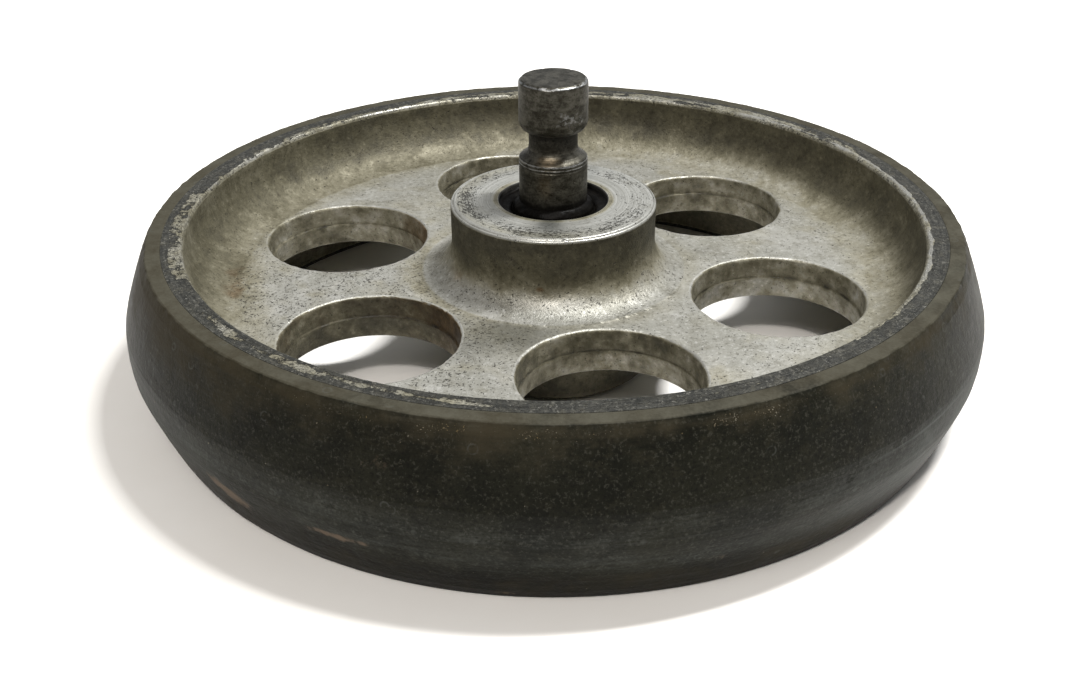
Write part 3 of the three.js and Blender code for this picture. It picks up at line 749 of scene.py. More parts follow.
def build_casting():
    n_hub, n_rim, n_hole = 360, 720, 144
    verts, quads, tris = [], [], []
    region = []
    total = [0]

    def add(P, kind):
        s = total[0]
        verts.append(P)
        region.append(np.full(len(P), kind))
        total[0] += len(P)
        return s

    def revolve(profile, n, kinds):
        ang = np.arange(n) * TAU / n
        ca, sa = np.cos(ang), np.sin(ang)
        idx = np.arange(n)
        nxt = (idx + 1) % n
        last = None
        for (r, z), kind in zip(profile, kinds):
            s = add(np.stack([r * ca, r * sa, np.full(n, z)], 1), kind)
            if last is not None:
                quads.append(np.stack([last + idx, last + nxt, s + nxt, s + idx], 1))
            last = s

    def fillet_z(r):
        t = np.clip(np.asarray(r, float) - RIM_FILLET_R0, 0, None)
        return 17.0 - np.sqrt(np.clip(17.0 ** 2 - t ** 2, 0, None))

    # hub: web top, up its fillet, over the top face, down the bore, and out underneath
    prof, kind = [], []

    def seg(pts_, k):
        for p in pts_:
            if prof and math.hypot(p[0] - prof[-1][0], p[1] - prof[-1][1]) < 1e-6:
                continue
            prof.append(p)
            kind.append(k)

    seg([(R_HUB, WEB_TOP)], 0)
    seg(arc(50, WEB_TOP + 12, 12, 270, 180, 16), 1)
    seg(resample([(38, 50.9), (38, 64.3)], 1.6), 1)
    seg([(37.97, 64.85), (37.85, 65.18), (37.62, 65.42), (37.34, 65.52), (37.2, 65.38), (37.05, 65.36), (36.93, 65.50), (36.82, 65.74), (36.6, 65.92), (36.3, 66.0)], 8)
    seg(resample([(36.3, 66.0), (20.7, 66.0)], 1.0), 2)
    seg([(20.4, 65.92), (20.12, 65.68), (20.0, 65.3)], 3)
    seg(resample([(20.0, 65.3), (20.0, 58.0), (18.5, 58.0), (18.5, 56.0), (26.0, 56.0)], 2.5), 3)
    seg(resample([(26.0, 56.0), (26.0, 7.9), (27.5, 7.9), (27.5, 5.3), (26.0, 5.3), (26.0, 4.2), (27.2, 4.2)], 8.0), 3)
    seg(resample([(27.2, 4.2), (27.2, 2.25)], 2), 3)
    seg([(27.45, 2.0)], 9)
    seg(resample([(27.45, 2.0), (36.8, 2.0)], 1.6), 9)
    seg([(37.4, 2.12), (37.85, 2.5), (38.0, 3.0)], 9)
    seg(resample([(38.0, 3.0), (38.0, 10.3)], 1.8), 1)
    seg(arc(50, WEB_BOTTOM - 12, 12, 180, 90, 14), 1)
    revolve(prof, n_hub, kind)

    # rim: web top, up the long fillet, over the lip and down the outside
    prof, kind = [], []
    a0 = math.degrees(math.asin((R_RIM - RIM_FILLET_R0) / 17.0))
    seg([(R_RIM, WEB_TOP + float(fillet_z(R_RIM)))], 0)
    seg([(RIM_FILLET_R0 + 17 * math.sin(math.radians(a)), WEB_TOP + 17 - 17 * math.cos(math.radians(a))) for a in np.linspace(a0, 90, 22)], 4)
    seg(resample([(134.3, 55.9), (134.3, 59.4)], 1.2), 4)
    seg([(134.36, 59.9), (134.55, 60.4), (134.85, 60.8), (135.2, 61.05), (135.6, 61.18)], 5)
    seg(resample([(135.6, 61.18), (136.0, 61.2), (142.0, 61.2)], 0.75), 5)
    seg(resample([(142.0, 61.2), (142.0, 0.0)], 15), 6)
    seg(resample([(142.0, 0.0), (136.0, 0.0), (135.6, 0.02)], 1.0), 5)
    seg([(135.2, 0.15), (134.85, 0.4), (134.55, 0.8), (134.36, 1.3), (134.3, 1.8)], 5)
    seg(resample([(134.3, 1.8), (134.3, 5.3)], 1.2), 4)
    seg([(RIM_FILLET_R0 + 17 * math.sin(math.radians(a)), WEB_BOTTOM - 17 + 17 * math.cos(math.radians(a))) for a in np.linspace(90, a0, 22)], 4)
    revolve(prof, n_rim, kind)

    # the web's two faces
    v2, f2 = web_points(n_hub, n_rim, n_hole, 1.45)
    rr = np.hypot(v2[:, 0], v2[:, 1])
    s = add(np.stack([v2[:, 0], v2[:, 1], WEB_TOP + fillet_z(rr)], 1), 0)
    tris.append(f2 + s)
    s = add(np.stack([v2[:, 0], v2[:, 1], WEB_BOTTOM - fillet_z(rr)], 1), 0)
    tris.append(f2[:, ::-1] + s)

    # hole walls: rounded edges, draft to a parting line where the two core halves met a little out of line
    e = HOLE_EDGE - HOLE_R - 0.25
    rows = []
    for k in range(0, 8):
        t = math.radians(90 * k / 7)
        rows.append((HOLE_EDGE - e * math.sin(t), WEB_TOP - e * (1 - math.cos(t)), 0.0))
    for t in np.linspace(0.12, 1, 7):
        rows.append((HOLE_R + 0.25 * (1 - t), WEB_TOP - e - (WEB_TOP - e - 31.6) * t, 0.0))
    rows += [(HOLE_R - 0.02, 31.35, 0.3), (HOLE_R - 0.2, 31.1, 0.8), (HOLE_R - 0.34, 30.9, 1.0), (HOLE_R - 0.38, 30.5, 1.0)]
    for t in np.linspace(0.15, 1, 5):
        rows.append((HOLE_R - 0.38 + 0.63 * t, 30.5 - (30.5 - WEB_BOTTOM - e) * t, 1.0))
    for k in range(1, 8):
        t = math.radians(90 * k / 7)
        rows.append((HOLE_R + 0.25 + e * (1 - math.cos(t)), WEB_BOTTOM + e - e * math.sin(t), 1.0 - k / 7.0))
    ang = np.arange(n_hole) * TAU / n_hole
    idx = np.arange(n_hole)
    nxt = (idx + 1) % n_hole
    shifts = [(0.22, -0.12), (-0.18, 0.15), (0.25, 0.10), (-0.12, -0.22), (0.10, 0.24), (-0.24, 0.08)]
    for h, (cx, cy) in enumerate(HOLES):
        last = None
        for r, z, off in rows:
            dx, dy = shifts[h][0] * off, shifts[h][1] * off
            x = cx + dx + r * np.cos(ang)
            y = cy + dy + r * np.sin(ang)
            zz = np.full(n_hole, z)
            rad = np.hypot(x, y)
            if abs(z - WEB_TOP) < 1e-9:
                zz = zz + fillet_z(rad)
            if abs(z - WEB_BOTTOM) < 1e-9:
                zz = zz - fillet_z(rad)
            s = add(np.stack([x, y, zz], 1), 7)
            if last is not None:
                quads.append(np.stack([last + idx, last + nxt, s + nxt, s + idx], 1))
            last = s

    P = np.concatenate(verts)
    reg = np.concatenate(region)
    Q = np.concatenate(quads)
    T = np.concatenate(tris)
    # join the parts where they share a circle of points
    key = np.round(P * 5e3).astype(np.int64)
    order = np.lexsort((key[:, 2], key[:, 1], key[:, 0]))
    k2 = key[order]
    new = np.r_[True, np.any(np.diff(k2, axis=0) != 0, axis=1)]
    gid = np.cumsum(new) - 1
    mapping = np.empty(len(P), int)
    mapping[order] = gid
    first = order[new]
    P, reg = P[first], reg[first]
    Q, T = mapping[Q], mapping[T]
    ob = make("wheel_casting_body", P, [Q, T], 38)
    return ob, reg


casting, creg = build_casting()
P = points(casting)
N = normals(casting)
r, az, z = polar(P)

# the skin of a sand casting isn't quite flat
rough_skin = np.isin(creg, (0, 1, 4, 7)).astype(float)
disp = 0.10 * fbm(P, 26, 3, 11) + 0.045 * fbm(P, 5, 2, 12) + 0.02 * vnoise(P, 1.9, 13)
disp *= rough_skin
# broken, dented edge of the holes
hole_d = np.full(len(P), 99.0)
hole_az = np.zeros(len(P))
hole_id = np.zeros(len(P), int)
for h, (cx, cy) in enumerate(HOLES):
    d = np.hypot(P[:, 0] - cx, P[:, 1] - cy)
    near = d < hole_d
    hole_d = np.where(near, d, hole_d)
    hole_az = np.where(near, np.degrees(np.arctan2(P[:, 1] - cy, P[:, 0] - cx)), hole_az)
    hole_id = np.where(near, h, hole_id)
edge = bell(hole_d, 31.7, 0.9) * bell(z, WEB_TOP - 0.4, 1.2)
disp -= edge * np.clip(fbm(P, 3.0, 2, 14), 0, 1) * 0.35
# flash at the parting line in the holes
part = bell(z, 31.0, 0.5) * (hole_d < 33)
disp += part * np.clip(fbm(P, 3.2, 2, 15), -0.2, 1) * 0.35
# nicks along the rim's lip
lip = bell(z, 60.6, 0.7) * bell(r, 134.7, 0.7)
disp -= lip * np.clip(fbm(P, 2.4, 2, 16) - 0.15, 0, 1) * 0.6
# nick in the hub's edge
nick = bell(r, 37.0, 0.8) * bell((az + 84.0), 0, 0.7) * (z > 60)
disp -= nick * 0.5
P = P + N * disp[:, None]
P[:, 2] = np.maximum(P[:, 2], 0.03)
set_points(casting, P)
P = points(casting)
r, az, z = polar(P)

height = np.where(z > MID, z, WIDTH - z)    # both sides alike

# --- grease stain: strong on the rim's wall, fading down its fillet onto the web
broad = fbm(P, 26, 3, 21)
hshift = 1.8 * broad + 1.0 * fbm(P, 9, 2, 22)
hh = height + hshift - 0.6 * az_bell(az, 101, 6) + 1.6 * az_between(az, 72, 150, 12) + 2.4 * az_between(az, 110, 172, 14) + 4.6 * az_bell(az, 183, 13) + 0.9 * az_between(az, -25, 40, 14)
stain_and_painted_light = np.interp(hh, [38.0, 39.5, 42.0, 45.0, 49.0, 55.0, 61.0], [0.12, 0.28, 0.50, 0.68, 0.79, 0.80, 0.76])
stain_and_painted_light = stain_and_painted_light - 0.10 * az_between(az, 145, 215, 20) * smooth(47, 53, height) - 0.20 * az_bell(az, 197, 9) * smooth(45, 49, height)
stain_and_painted_light = stain_and_painted_light + 0.07 * az_between(az, 20, 150, 20) * smooth(41, 45, height)
stain_and_painted_light = np.where(r > 117.0, stain_and_painted_light, 0.0)
spread = 0.24 * smooth(104, 119, r + 4.5 * fbm(P, 12, 3, 23)) + 0.22 * az_bell(az, 188, 13) * smooth(100, 116, r + 4 * fbm(P, 7, 3, 24))
stain_and_painted_light = np.maximum(stain_and_painted_light, np.where(r > 96, spread, 0))
stain_and_painted_light = np.where(creg == 5, 0.36 + 0.25 * fbm(P, 6, 2, 45), stain_and_painted_light)
# hub: sides dark, fillet straw and olive
hub_side = (creg == 1) & (r < 50.5)
hs = np.interp(height + 1.4 * fbm(P, 9, 3, 25), [38.9, 41.0, 44.0, 48.0, 53.0, 66.0], [0.04, 0.10, 0.27, 0.62, 0.84, 1.0])
# painted highlight: the stain thinned on the fillet in front and on the left, where its highlight falls
hs = hs - 0.20 * az_bell(az, -88, 24) * bell(height, 44, 4.0) - 0.13 * az_between(az, -172, -108, 15) * bell(height, 42.5, 4.0)
stain_and_painted_light = np.where(hub_side, hs, stain_and_painted_light)
stain_and_painted_light = np.where((creg == 0) & (r < 60), np.maximum(stain_and_painted_light, 0.30 * smooth(60, 50, r + 4 * fbm(P, 9, 2, 46)) * (0.5 + 0.9 * az_bell(az, 195, 60))), stain_and_painted_light)
# straw ring round the bore mouth
ringm = bell(r, 21.2, 0.9) * (creg == 2) * (0.68 + 0.45 * fbm(P, 6, 2, 27)) + 0.20 * smooth(29, 34, r) * (creg == 2) * az_between(az, 100, 300, 30)
stain_and_painted_light = stain_and_painted_light + ringm
# web: faint patches
patch = np.clip(fbm(P, 20, 3, 28) - 0.05, 0, 1) * 0.55 + np.clip(fbm(P, 7, 2, 29) - 0.2, 0, 1) * 0.45
stain_and_painted_light = np.where(creg == 0, np.maximum(stain_and_painted_light, patch * 0.7), stain_and_painted_light)
# painted reflection and shade: darker web in front of the hub
stain_and_painted_light = np.where((creg == 0) & (r < 80), np.maximum(stain_and_painted_light, 0.22 * az_bell(az, 250, 26) * smooth(82, 58, r + 5 * fbm(P, 12, 2, 47))), stain_and_painted_light)
# hole walls: olive grey
wall = (creg == 7) & (hole_d < 31.6) & (np.abs(z - MID) < 8.0)
hw = 0.50 + 0.34 * fbm(P, 8, 3, 30) + 0.34 * fbm(P, 2.6, 3, 56)
hw = hw + 0.36 * (hole_id == 3) + 0.14 * (hole_id == 4)
hw = hw - 0.20 * smooth(31.5, 29.5, z) * np.isin(hole_id, (4, 5))
hw = hw + 0.25 * bell(z, 31.2, 0.5)
stain_and_painted_light = np.where(wall, np.clip(hw, 0.08, 0.95), stain_and_painted_light)

# underside: painted shade, a dark stain over the faces under the wheel
under = smooth(22.9, 22.3, z) * (creg != 5) * (creg != 6)
stain_and_painted_light = np.where((under > 0) & (creg != 7), np.maximum(stain_and_painted_light, 0.78 + 0.25 * fbm(P, 14, 3, 57)), stain_and_painted_light)

# --- rust-brown places
rust = 0.75 * az_bell(az, 187, 9) * bell(r, 119, 6) * (height < 50) * (0.7 + 0.8 * fbm(P, 6, 3, 48))
rust += 0.85 * wall * np.isin(hole_id, (2, 3)) * az_bell(hole_az, 10, 45)
rust += 0.40 * wall * (hole_id == 3)
rust += 0.45 * wall * (hole_id == 4) * az_bell(hole_az, 95, 40) * smooth(32, 29, z)
rust += 0.22 * (creg == 4) * az_between(az, 15, 100, 25) * smooth(44, 52, height)
rust += 0.30 * hub_side * bell(height, 44, 3.5) * az_bell(az, 205, 40)
rust += 1.0 * hub_side * az_bell(az, 263, 2.4) * bell(height, 47.4, 0.9)
rust = rust * np.where(z < MID, 0.6, 1.0)

# --- bright rubbed places, with painted highlights on the holes' top edges, the rim's lip and the hub's fillet
# rubbed metal and painted highlight on the holes' top edges
wear_and_highlight = 0.80 * bell(hole_d, 31.75, 0.75) * bell(z, WEB_TOP - 0.3, 1.1) * (0.55 + 0.5 * fbm(P, 9, 3, 31))
wear_and_highlight = wear_and_highlight + (0.72 * bell(r, 37.72, 0.22) + 0.62 * bell(r, 36.72, 0.18)) * (creg == 8) * (0.75 + 0.5 * fbm(P, 5, 2, 32))
# rubbed metal and painted highlight on the rim's lip, stronger at the back and left
wear_and_highlight = wear_and_highlight + (0.30 + 0.40 * az_between(az, 50, 200, 18)) * bell(z, 60.6, 0.9) * bell(r, 135.2, 1.0) * (0.75 + 0.9 * fbm(P, 14, 3, 33))
# painted highlight on the hub's fillet, in front
wear_and_highlight = wear_and_highlight + 0.50 * bell(height, 42.8, 2.0) * az_bell(az, -90, 24) * (r < 50) * hub_side
wear_and_highlight = wear_and_highlight + 0.50 * az_bell(az, 103, 9) * bell(r, 121, 5) * (creg == 4) * (0.4 + fbm(P, 6, 3, 34))
wear_and_highlight = wear_and_highlight + 0.25 * bell(z, 31.0, 0.5) * (hole_d < 33)
wear_and_highlight = wear_and_highlight + 1.0 * az_between(az, -26, 52, 6) * bell(r, 136.0, 0.9) * (creg == 5) * (0.75 + 0.8 * fbm(P, 4, 2, 60))

# --- machined faces
machined = np.isin(creg, (2, 3, 8, 9)).astype(float)
machined = np.where(creg == 5, 0.5, machined)

# --- rubber smear on the rim's side faces; bare places at its left, right and back
smear = np.full(len(P), 1.30)
on_rim = creg == 5
bare = az_between(az, 172, 208, 4) * (0.95 * smooth(142.3, 138.5, r))
bare += az_between(az, 150, 172, 6) * (0.70 * smooth(138.6, 136.0, r))
bare += az_between(az, 50, 150, 8) * (0.95 * smooth(139.8, 136.4, r)) + az_between(az, 46, 112, 7) * 0.75 * smooth(142.2, 139.5, r) * smooth(136.5, 138.5, r)
bare += az_between(az, 214, 262, 3) * (0.72 * bell(r, 138.4, 2.4) + 0.22)
bare += az_between(az, 258, 318, 5) * 0.66 * bell(r, 138.9 + 0.5 * np.sin(np.radians(az * 3)), 0.6)
bare += az_between(az, 24, 52, 5) * (0.98 * smooth(141.5, 138.6, r))
bare += az_between(az, -48, 24, 6) * (1.55 * smooth(137.3, 135.8, r + 0.9 * fbm(P, 3.0, 2, 58)))
bare += 0.30 * fbm(P, 9, 3, 41) + 0.16 * fbm(P, 2.5, 2, 54)
smear = smear - bare
smear = np.where(r < 134.9, smear - 0.9, smear)
smear = np.where(z < MID, 1.20 - np.clip(fbm(P, 10, 3, 43) * 1.2 + 0.2, 0, 1), smear)
smear = np.where(on_rim, smear, -2.0)

# --- dark grime
grime = np.zeros(len(P))
grime = np.where(creg == 3, 1.0, grime)
grime = grime + 0.8 * bell(r, 37.12, 0.16) * (creg == 8)
grime = grime + 0.75 * (creg == 7) * np.clip(fbm(P, 5, 3, 42) - 0.05, 0, 1) * (hole_d < 31.8)
grime = grime + 0.85 * (creg == 7) * bell(z, 31.1, 0.40) * np.clip(fbm(P, 6, 2, 53) + 0.35, 0, 1)
grime = grime + 0.20 * np.clip(fbm(P, 8, 3, 49) - 0.15, 0, 1) * np.isin(creg, (0, 1, 4))

# --- pitted places
pitted = 0.10 + 0.42 * az_between(az, 165, 260, 22) * (creg == 0) + 0.12 * (creg == 0)
pitted = pitted + (0.56 * bell(r, 32.6, 3.8) * (0.62 + 0.50 * az_between(az, 100, 300, 25)) + 1.1 * fbm(P, 5.0, 3, 59) * bell(r, 32.0, 5.0)) * (creg == 2)
pitted = pitted + 0.35 * bell(height, 42, 3) * hub_side
pitted = np.where(creg == 5, 0.75, pitted)
pitted = np.where((creg == 2) & (r < 28), -0.9 + 0.5 * smooth(24, 28, r), pitted)

# --- painted shade: darker web in front of the hub, a dimmed highlight low on the hub's fillet, a darker upper hub side (more on its right), and a darker hub top in front of the bore and on its left; a random grey mottle on the web rides in it too
painted_shade = 0.72 * az_bell(az, 256, 24) * smooth(47, 52, r) * smooth(84, 62, r + 5 * fbm(P, 14, 2, 50)) * (creg == 0)
# painted shade dimming the highlight low on the hub's fillet, in front and on the right
painted_shade += 0.38 * hub_side * az_between(az, -108, 5, 14) * bell(height, 39.8, 1.9)
painted_shade += 0.14 * hub_side * az_bell(az, -57, 15) * bell(height, 40.2, 1.9)
painted_shade += 0.34 * hub_side * smooth(50, 56, height) * (0.6 + 0.6 * az_between(az, -60, 20, 14)) * (0.9 + 0.6 * fbm(P, 6, 3, 55))
# painted shade on the hub's top face in front of the bore
painted_shade += 0.55 * (creg == 2) * az_bell(az, 266, 12) * smooth(31, 26, r)
painted_shade += 0.26 * (creg == 2) * smooth(27, 33, r) * az_between(az, 120, 285, 22) * (0.8 + 0.6 * fbm(P, 5, 3, 52))
painted_shade += 0.35 * (creg == 2) * az_bell(az, 268, 16)
painted_shade += 0.22 * np.clip(fbm(P, 22, 3, 51), 0, 1) * (creg == 0)

for name, val in (("stain_and_painted_light", stain_and_painted_light), ("wear_and_highlight", np.clip(wear_and_highlight, 0, 1)), ("machined", machined), ("smear", smear), ("grime", np.clip(grime, 0, 1)),
                  ("pitted", pitted), ("rust", np.clip(rust, 0, 1)), ("painted_shade", np.clip(painted_shade, 0, 1))):
    paint(casting, name, val)
wear_on(casting, MAT["cast"], "wheel", ("wheel_casting",))

# ==================================================================== tyre

half = [(142.05, WIDTH), (147.0, WIDTH), (147.55, 60.75), (149.4, 57.4), (151.2, 53.2), (152.9, 48.9), (154.7, 44.0), (156.3, 39.4), (157.05, 36.9), (157.4, 34.4), (157.5, MID)]
low = [(rr_, WIDTH - zz_) for rr_, zz_ in half[::-1]][1:]
prof = half + low
radii = [0.25, 0.25, 0.7] + [2.5] * 4 + [1.6] * 2 + [3] * 2 + [3] * 2 + [1.6] * 2 + [2.5] * 4 + [0.7, 0.25, 0.25]
radii = radii[:len(prof)]
prof = rounded([(142.05, MID)] + prof + [(142.05, MID)], [0] + radii + [0], 3)[1:-1]
prof = resample(prof, 1.1)
tyre = lathe("solid_rubber_tyre", prof + resample([prof[-1], prof[0]], 8)[1:-1], 720, True, angle=50)
P = points(tyre)
N = normals(tyre)
r, az, z = polar(P)
outer = smooth(143, 145, r)
disp = outer * (0.16 * fbm(P, 40, 3, 51) + 0.05 * fbm(P, 7, 3, 52))
ripple = vnoise(np.stack([P[:, 0] * 0.12, P[:, 1] * 0.12, P[:, 2] * 2.4], 1), 1.0, 53)
disp += outer * 0.035 * ripple
# ragged upper shoulder with pressed-in crumbs
sh = bell(z, 60.6, 0.9) * bell(r, 147.6, 1.0)
disp += sh * (0.28 * fbm(P, 4, 2, 54) + 0.20 * fbm(P, 1.8, 2, 55))
cr = bell(z, 58.2, 1.8) * outer
disp += cr * np.clip(vnoise(P, 1.6, 56) - 0.35, 0, 1) * 0.45
# faint grooves left by running on its edges
for zz_, depth, wid in ((37.4, 0.10, 0.35), (26.2, 0.12, 0.4), (34.9, 0.05, 0.3)):
    disp -= depth * bell(z, zz_, wid) * outer * (0.6 + 0.5 * fbm(P, 60, 2, 57))
# crack across the tread, lower right
crack = bell(az + 56.4 + 0.05 * (z - 30), 0, 0.11) * smooth(22, 25, z) * (1 - smooth(34, 37, z))
disp -= crack * 0.5
P = P + N * disp[:, None]
P[:, 2] = np.maximum(P[:, 2], 0.03)
set_points(tyre, P)
P = points(tyre)
r, az, z = polar(P)

dust_and_sheen = 0.13 * bell(z, 31, 5.5) + 0.20 * smooth(25.5, 20, z) * smooth(7, 15, z) + 0.10 * bell(z, 27, 3.0)
dust_and_sheen += 0.12 * fbm(np.stack([P[:, 0] * .3, P[:, 1] * .3, P[:, 2]], 1), 6, 2, 61) * bell(z, 24, 14)
dust_and_sheen += 0.075 * smooth(37.8, 37.0, z) * smooth(16.5, 18.5, z)
# painted sheen: lighter rubber toward the outline on the right and left sides
dust_and_sheen += 0.34 * az_between(az, -58, 15, 14) * smooth(46, 28, z) * (0.6 + 0.6 * fbm(P, 12, 3, 62))
dust_and_sheen += 0.30 * az_between(az, 165, 226, 10) * smooth(41, 33, z) * (0.6 + 0.7 * fbm(P, 10, 3, 63))
dust_and_sheen += 0.16 * az_between(az, -30, 200, 16) * smooth(56, 40, z)
dust_and_sheen += 0.56 * smooth(60.6, 61.0, z) * (0.92 + 0.22 * fbm(P, 14, 2, 64))
dust_and_sheen += 0.22 * bell(z, 59.5, 1.4) * (0.6 + 0.8 * fbm(P, 7, 2, 68))
# painted sheen: light streaks across the right shoulder and the left side, toward the outline
slant = 0.6 * vnoise(np.stack([az * 1.3 + z * 0.42, z * 0.07, np.zeros(len(z))], 1), 1.0, 69) + 0.5 * vnoise(np.stack([az * 2.9 + z * 0.90, z * 0.10, np.ones(len(z))], 1), 1.0, 73)
broken = np.clip(0.35 + 1.3 * fbm(P, 4.5, 3, 74), 0, 1)
dust_and_sheen += 0.85 * broken * az_between(az, -44, 30, 8) * np.clip(slant - 0.22, 0, 1) * smooth(60, 50, z)
dust_and_sheen += 0.85 * broken * az_between(az, 165, 218, 8) * np.clip(vnoise(np.stack([az * 0.9 - z * 0.5, z * 0.05, np.zeros(len(z))], 1), 1.0, 70) - 0.2, 0, 1) * smooth(52, 40, z)
dust_and_sheen += 0.55 * bell(z - 34.2 - 0.03 * (az + 42), 0, 0.35) * az_between(az, -52, -33, 4)
dust_and_sheen = np.where(z < 14, dust_and_sheen * 0.55, dust_and_sheen)
brown = 0.46 * smooth(40, 57, z) * (0.75 + 0.8 * fbm(P, 16, 3, 65)) + 0.46 * smooth(17, 9, z) * (0.85 + 0.6 * fbm(P, 18, 3, 66))
brown += 0.34 * bell(z, 58.8, 1.8) * (0.8 + 0.5 * fbm(P, 9, 2, 71))
brown += 0.40 * az_between(az, 170, 232, 16) * smooth(38, 50, z)
brown += 0.42 * smooth(60.7, 61.1, z) * (0.9 + 0.3 * fbm(P, 16, 2, 75))
scuff = 0.98 * az_bell(az, 229, 4.5) * bell(z - 16 + 0.6 * (az % 360 - 229), 0, 4.5) + 0.80 * az_bell(az, 246, 6) * bell(z, 17.5, 2.0) + 0.60 * az_bell(az, 265, 3) * bell(z, 2.5, 1.8)
scuff += 0.42 * az_bell(az, 251, 2.6) * bell(z, 47, 4.5) + 0.42 * az_bell(az, -72, 3.5) * bell(z, 14, 5) + 0.45 * az_bell(az, -38, 5) * bell(z, 22, 3)
crumb = (0.72 * bell(z, 58.6, 1.8) + 0.40 * bell(z, 55.5, 2.8) + 0.20 * smooth(60.6, 61.1, z)) * (0.85 + 0.5 * fbm(P, 8, 2, 67)) * (0.25 + 0.75 * az_between(az, -118, -38, 12))
crumb *= np.clip(0.72 + 1.3 * fbm(P, 13, 2, 72), 0, 1.1)
crumb += 0.50 * az_bell(az, 253, 3.5) * bell(z, 47.5, 4) + 0.10
# painted shade: a darker band round z 44, and darker towards the bottom edge by the floor
tyre_painted_shade = 0.16 * bell(z, 44, 9) + 0.70 * smooth(15.5, 10, z) + 0.28 * smooth(5, 0, z)
paint(tyre, "painted_shade", np.clip(tyre_painted_shade, 0, 1))
for name, val in (("dust_and_sheen", np.clip(dust_and_sheen, 0, 1)), ("brown", np.clip(brown, 0, 1)), ("scuff", np.clip(scuff, 0, 1)), ("crumb", np.clip(crumb, 0, 1))):
    paint(tyre, name, val)
wear_on(tyre, MAT["tyre"], "wheel", ("rubber_tyre",))

# ================================================================= spindle

sp = [(0, SPINDLE_BOTTOM), (11.9, SPINDLE_BOTTOM), (12.5, 5.4), (12.5, 6.2), (11.9, 6.2), (11.9, 7.9), (12.5, 7.9), (12.5, 56.0), (15.0, 56.0),
      (15.0, 62.7), (14.5, 63.2), (12.5, 63.2),
      (12.5, 79.9), (12.3, 80.15), (12.3, 80.45), (12.5, 80.7), (12.5, 81.2), (12.28, 81.45), (12.28, 81.7), (12.45, 81.95), (12.4, 82.7), (11.9, 83.15),
      (11.1, 83.65), (10.2, 84.35), (9.5, 85.2), (9.05, 86.1), (8.85, 87.2), (8.85, 92.3),
      (9.1, 92.75), (11.2, 93.7), (12.15, 95.0), (12.5, 96.3), (12.5, 110.6), (12.35, 111.1), (11.6, 111.7), (11.3, 111.8), (0, 111.8)]
rad = [0, .3, .3, .05, .05, .05, .05, .3, .3, .3, .3, .6, .1, .1, .1, .1, .1, .1, .1, .15, .3, .5, .8, .8, .8, .8, .8, .6, .2, .5, .5, .5, .5, .3, .3, .3, 0]
prof = resample(rounded(sp, rad, 3), 1.3)
spindle = lathe("spindle_shaft", prof, 160, False, angle=42)
P = points(spindle)
N = normals(spindle)
r, az, z = polar(P)
vis = smooth(63.5, 66, z)
disp = vis * (0.03 * fbm(P, 9, 3, 71) + 0.015 * fbm(P, 2.2, 2, 72))
# small dings on the head's edges
disp -= bell(z, 111.3, 0.8) * np.clip(fbm(P, 2.6, 2, 73) - 0.1, 0, 1) * 0.5 * (r > 10)
disp -= bell(z, 94.6, 0.8) * np.clip(fbm(P, 2.4, 2, 74) - 0.2, 0, 1) * 0.5
set_points(spindle, P + N * disp[:, None])
P = points(spindle)
r, az, z = polar(P)
# grease low on the shaft; painted shade in the neck under the head, in the fine grooves and over the flare's highlight
# on the right; a darker lower shaft and head-top centre
grease_and_painted_shade = 0.95 * smooth(69.5, 65.5, z + 1.2 * fbm(P, 3, 2, 75)) + 0.30 * smooth(92.9, 92.0, z) * smooth(86, 88, z)
grease_and_painted_shade += 0.30 * smooth(74, 69, z) + 0.10 * smooth(83, 79, z) + 0.34 * smooth(94, 92, z) * smooth(85.5, 87, z) + 0.42 * az_bell(az, -55, 22) * bell(z, 84.0, 1.6)
grease_and_painted_shade += 0.35 * bell(z, 92.7, 0.5) + 0.30 * bell(z, 80.3, 0.25) + 0.25 * bell(z, 81.6, 0.25)
grease_and_painted_shade += 0.35 * smooth(111.3, 111.8, z) * smooth(11.4, 10.2, r) * (0.7 + 0.5 * fbm(P, 5, 2, 76))
polish_and_highlight = 0.22 * smooth(94, 97, z) * smooth(111.8, 110, z) * (0.62 + 0.6 * fbm(P, 6, 3, 77)) * az_between(az, -110, 60, 25)
polish_and_highlight += (0.42 * bell(z, 99.6, 3.0) * az_between(az, -84, -28, 9) + 0.26 * bell(z, 103.5, 2.0) * az_between(az, -125, -95, 8)) * (0.85 + 0.5 * fbm(P, 2.2, 3, 78))
# painted highlights: thin bright lines round the head's top edge, the collar's edges and the head's lower edge
polish_and_highlight += 0.75 * bell(z, 111.2, 0.5) * (r > 10.5) + 0.95 * bell(z, 82.4, 0.45) + 0.90 * bell(z, 81.05, 0.24) + 0.35 * bell(z, 95.2, 0.5)
warm = 0.62 * bell(z, 84.0, 1.5) * az_bell(az, -100, 26) + 0.40 * az_bell(az, -104, 17) * bell(z, 75, 6.0) + 0.15 * bell(z, 90, 3) * az_bell(az, -100, 30)
for name, val in (("grease_and_painted_shade", np.clip(grease_and_painted_shade, 0, 1)), ("polish_and_highlight", np.clip(polish_and_highlight, 0, 1)), ("warm", np.clip(warm, 0, 1))):
    paint(spindle, name, val)
wear_on(spindle, MAT["spindle"], "spindle", ("spindle",))

# grease: a lumpy collar of it round the shaft, and a film on the seal
g = lathe("collar_grease", resample([(12.55, 66.2), (13.1, 65.9), (14.1, 65.0), (14.9, 63.9), (15.05, 63.0), (14.6, 63.25), (12.55, 63.3)], 0.5), 120, True, angle=80)
P = points(g)
N = normals(g)
free = smooth(63.4, 64.2, P[:, 2]) * smooth(12.6, 13.1, np.hypot(P[:, 0], P[:, 1]))
set_points(g, P + N * (free * (0.45 * fbm(P, 4.5, 3, 81) + 0.15 * fbm(P, 1.6, 2, 82)))[:, None])
wear_on(g, MAT["grease"], "spindle")

# ==================================================================== seal

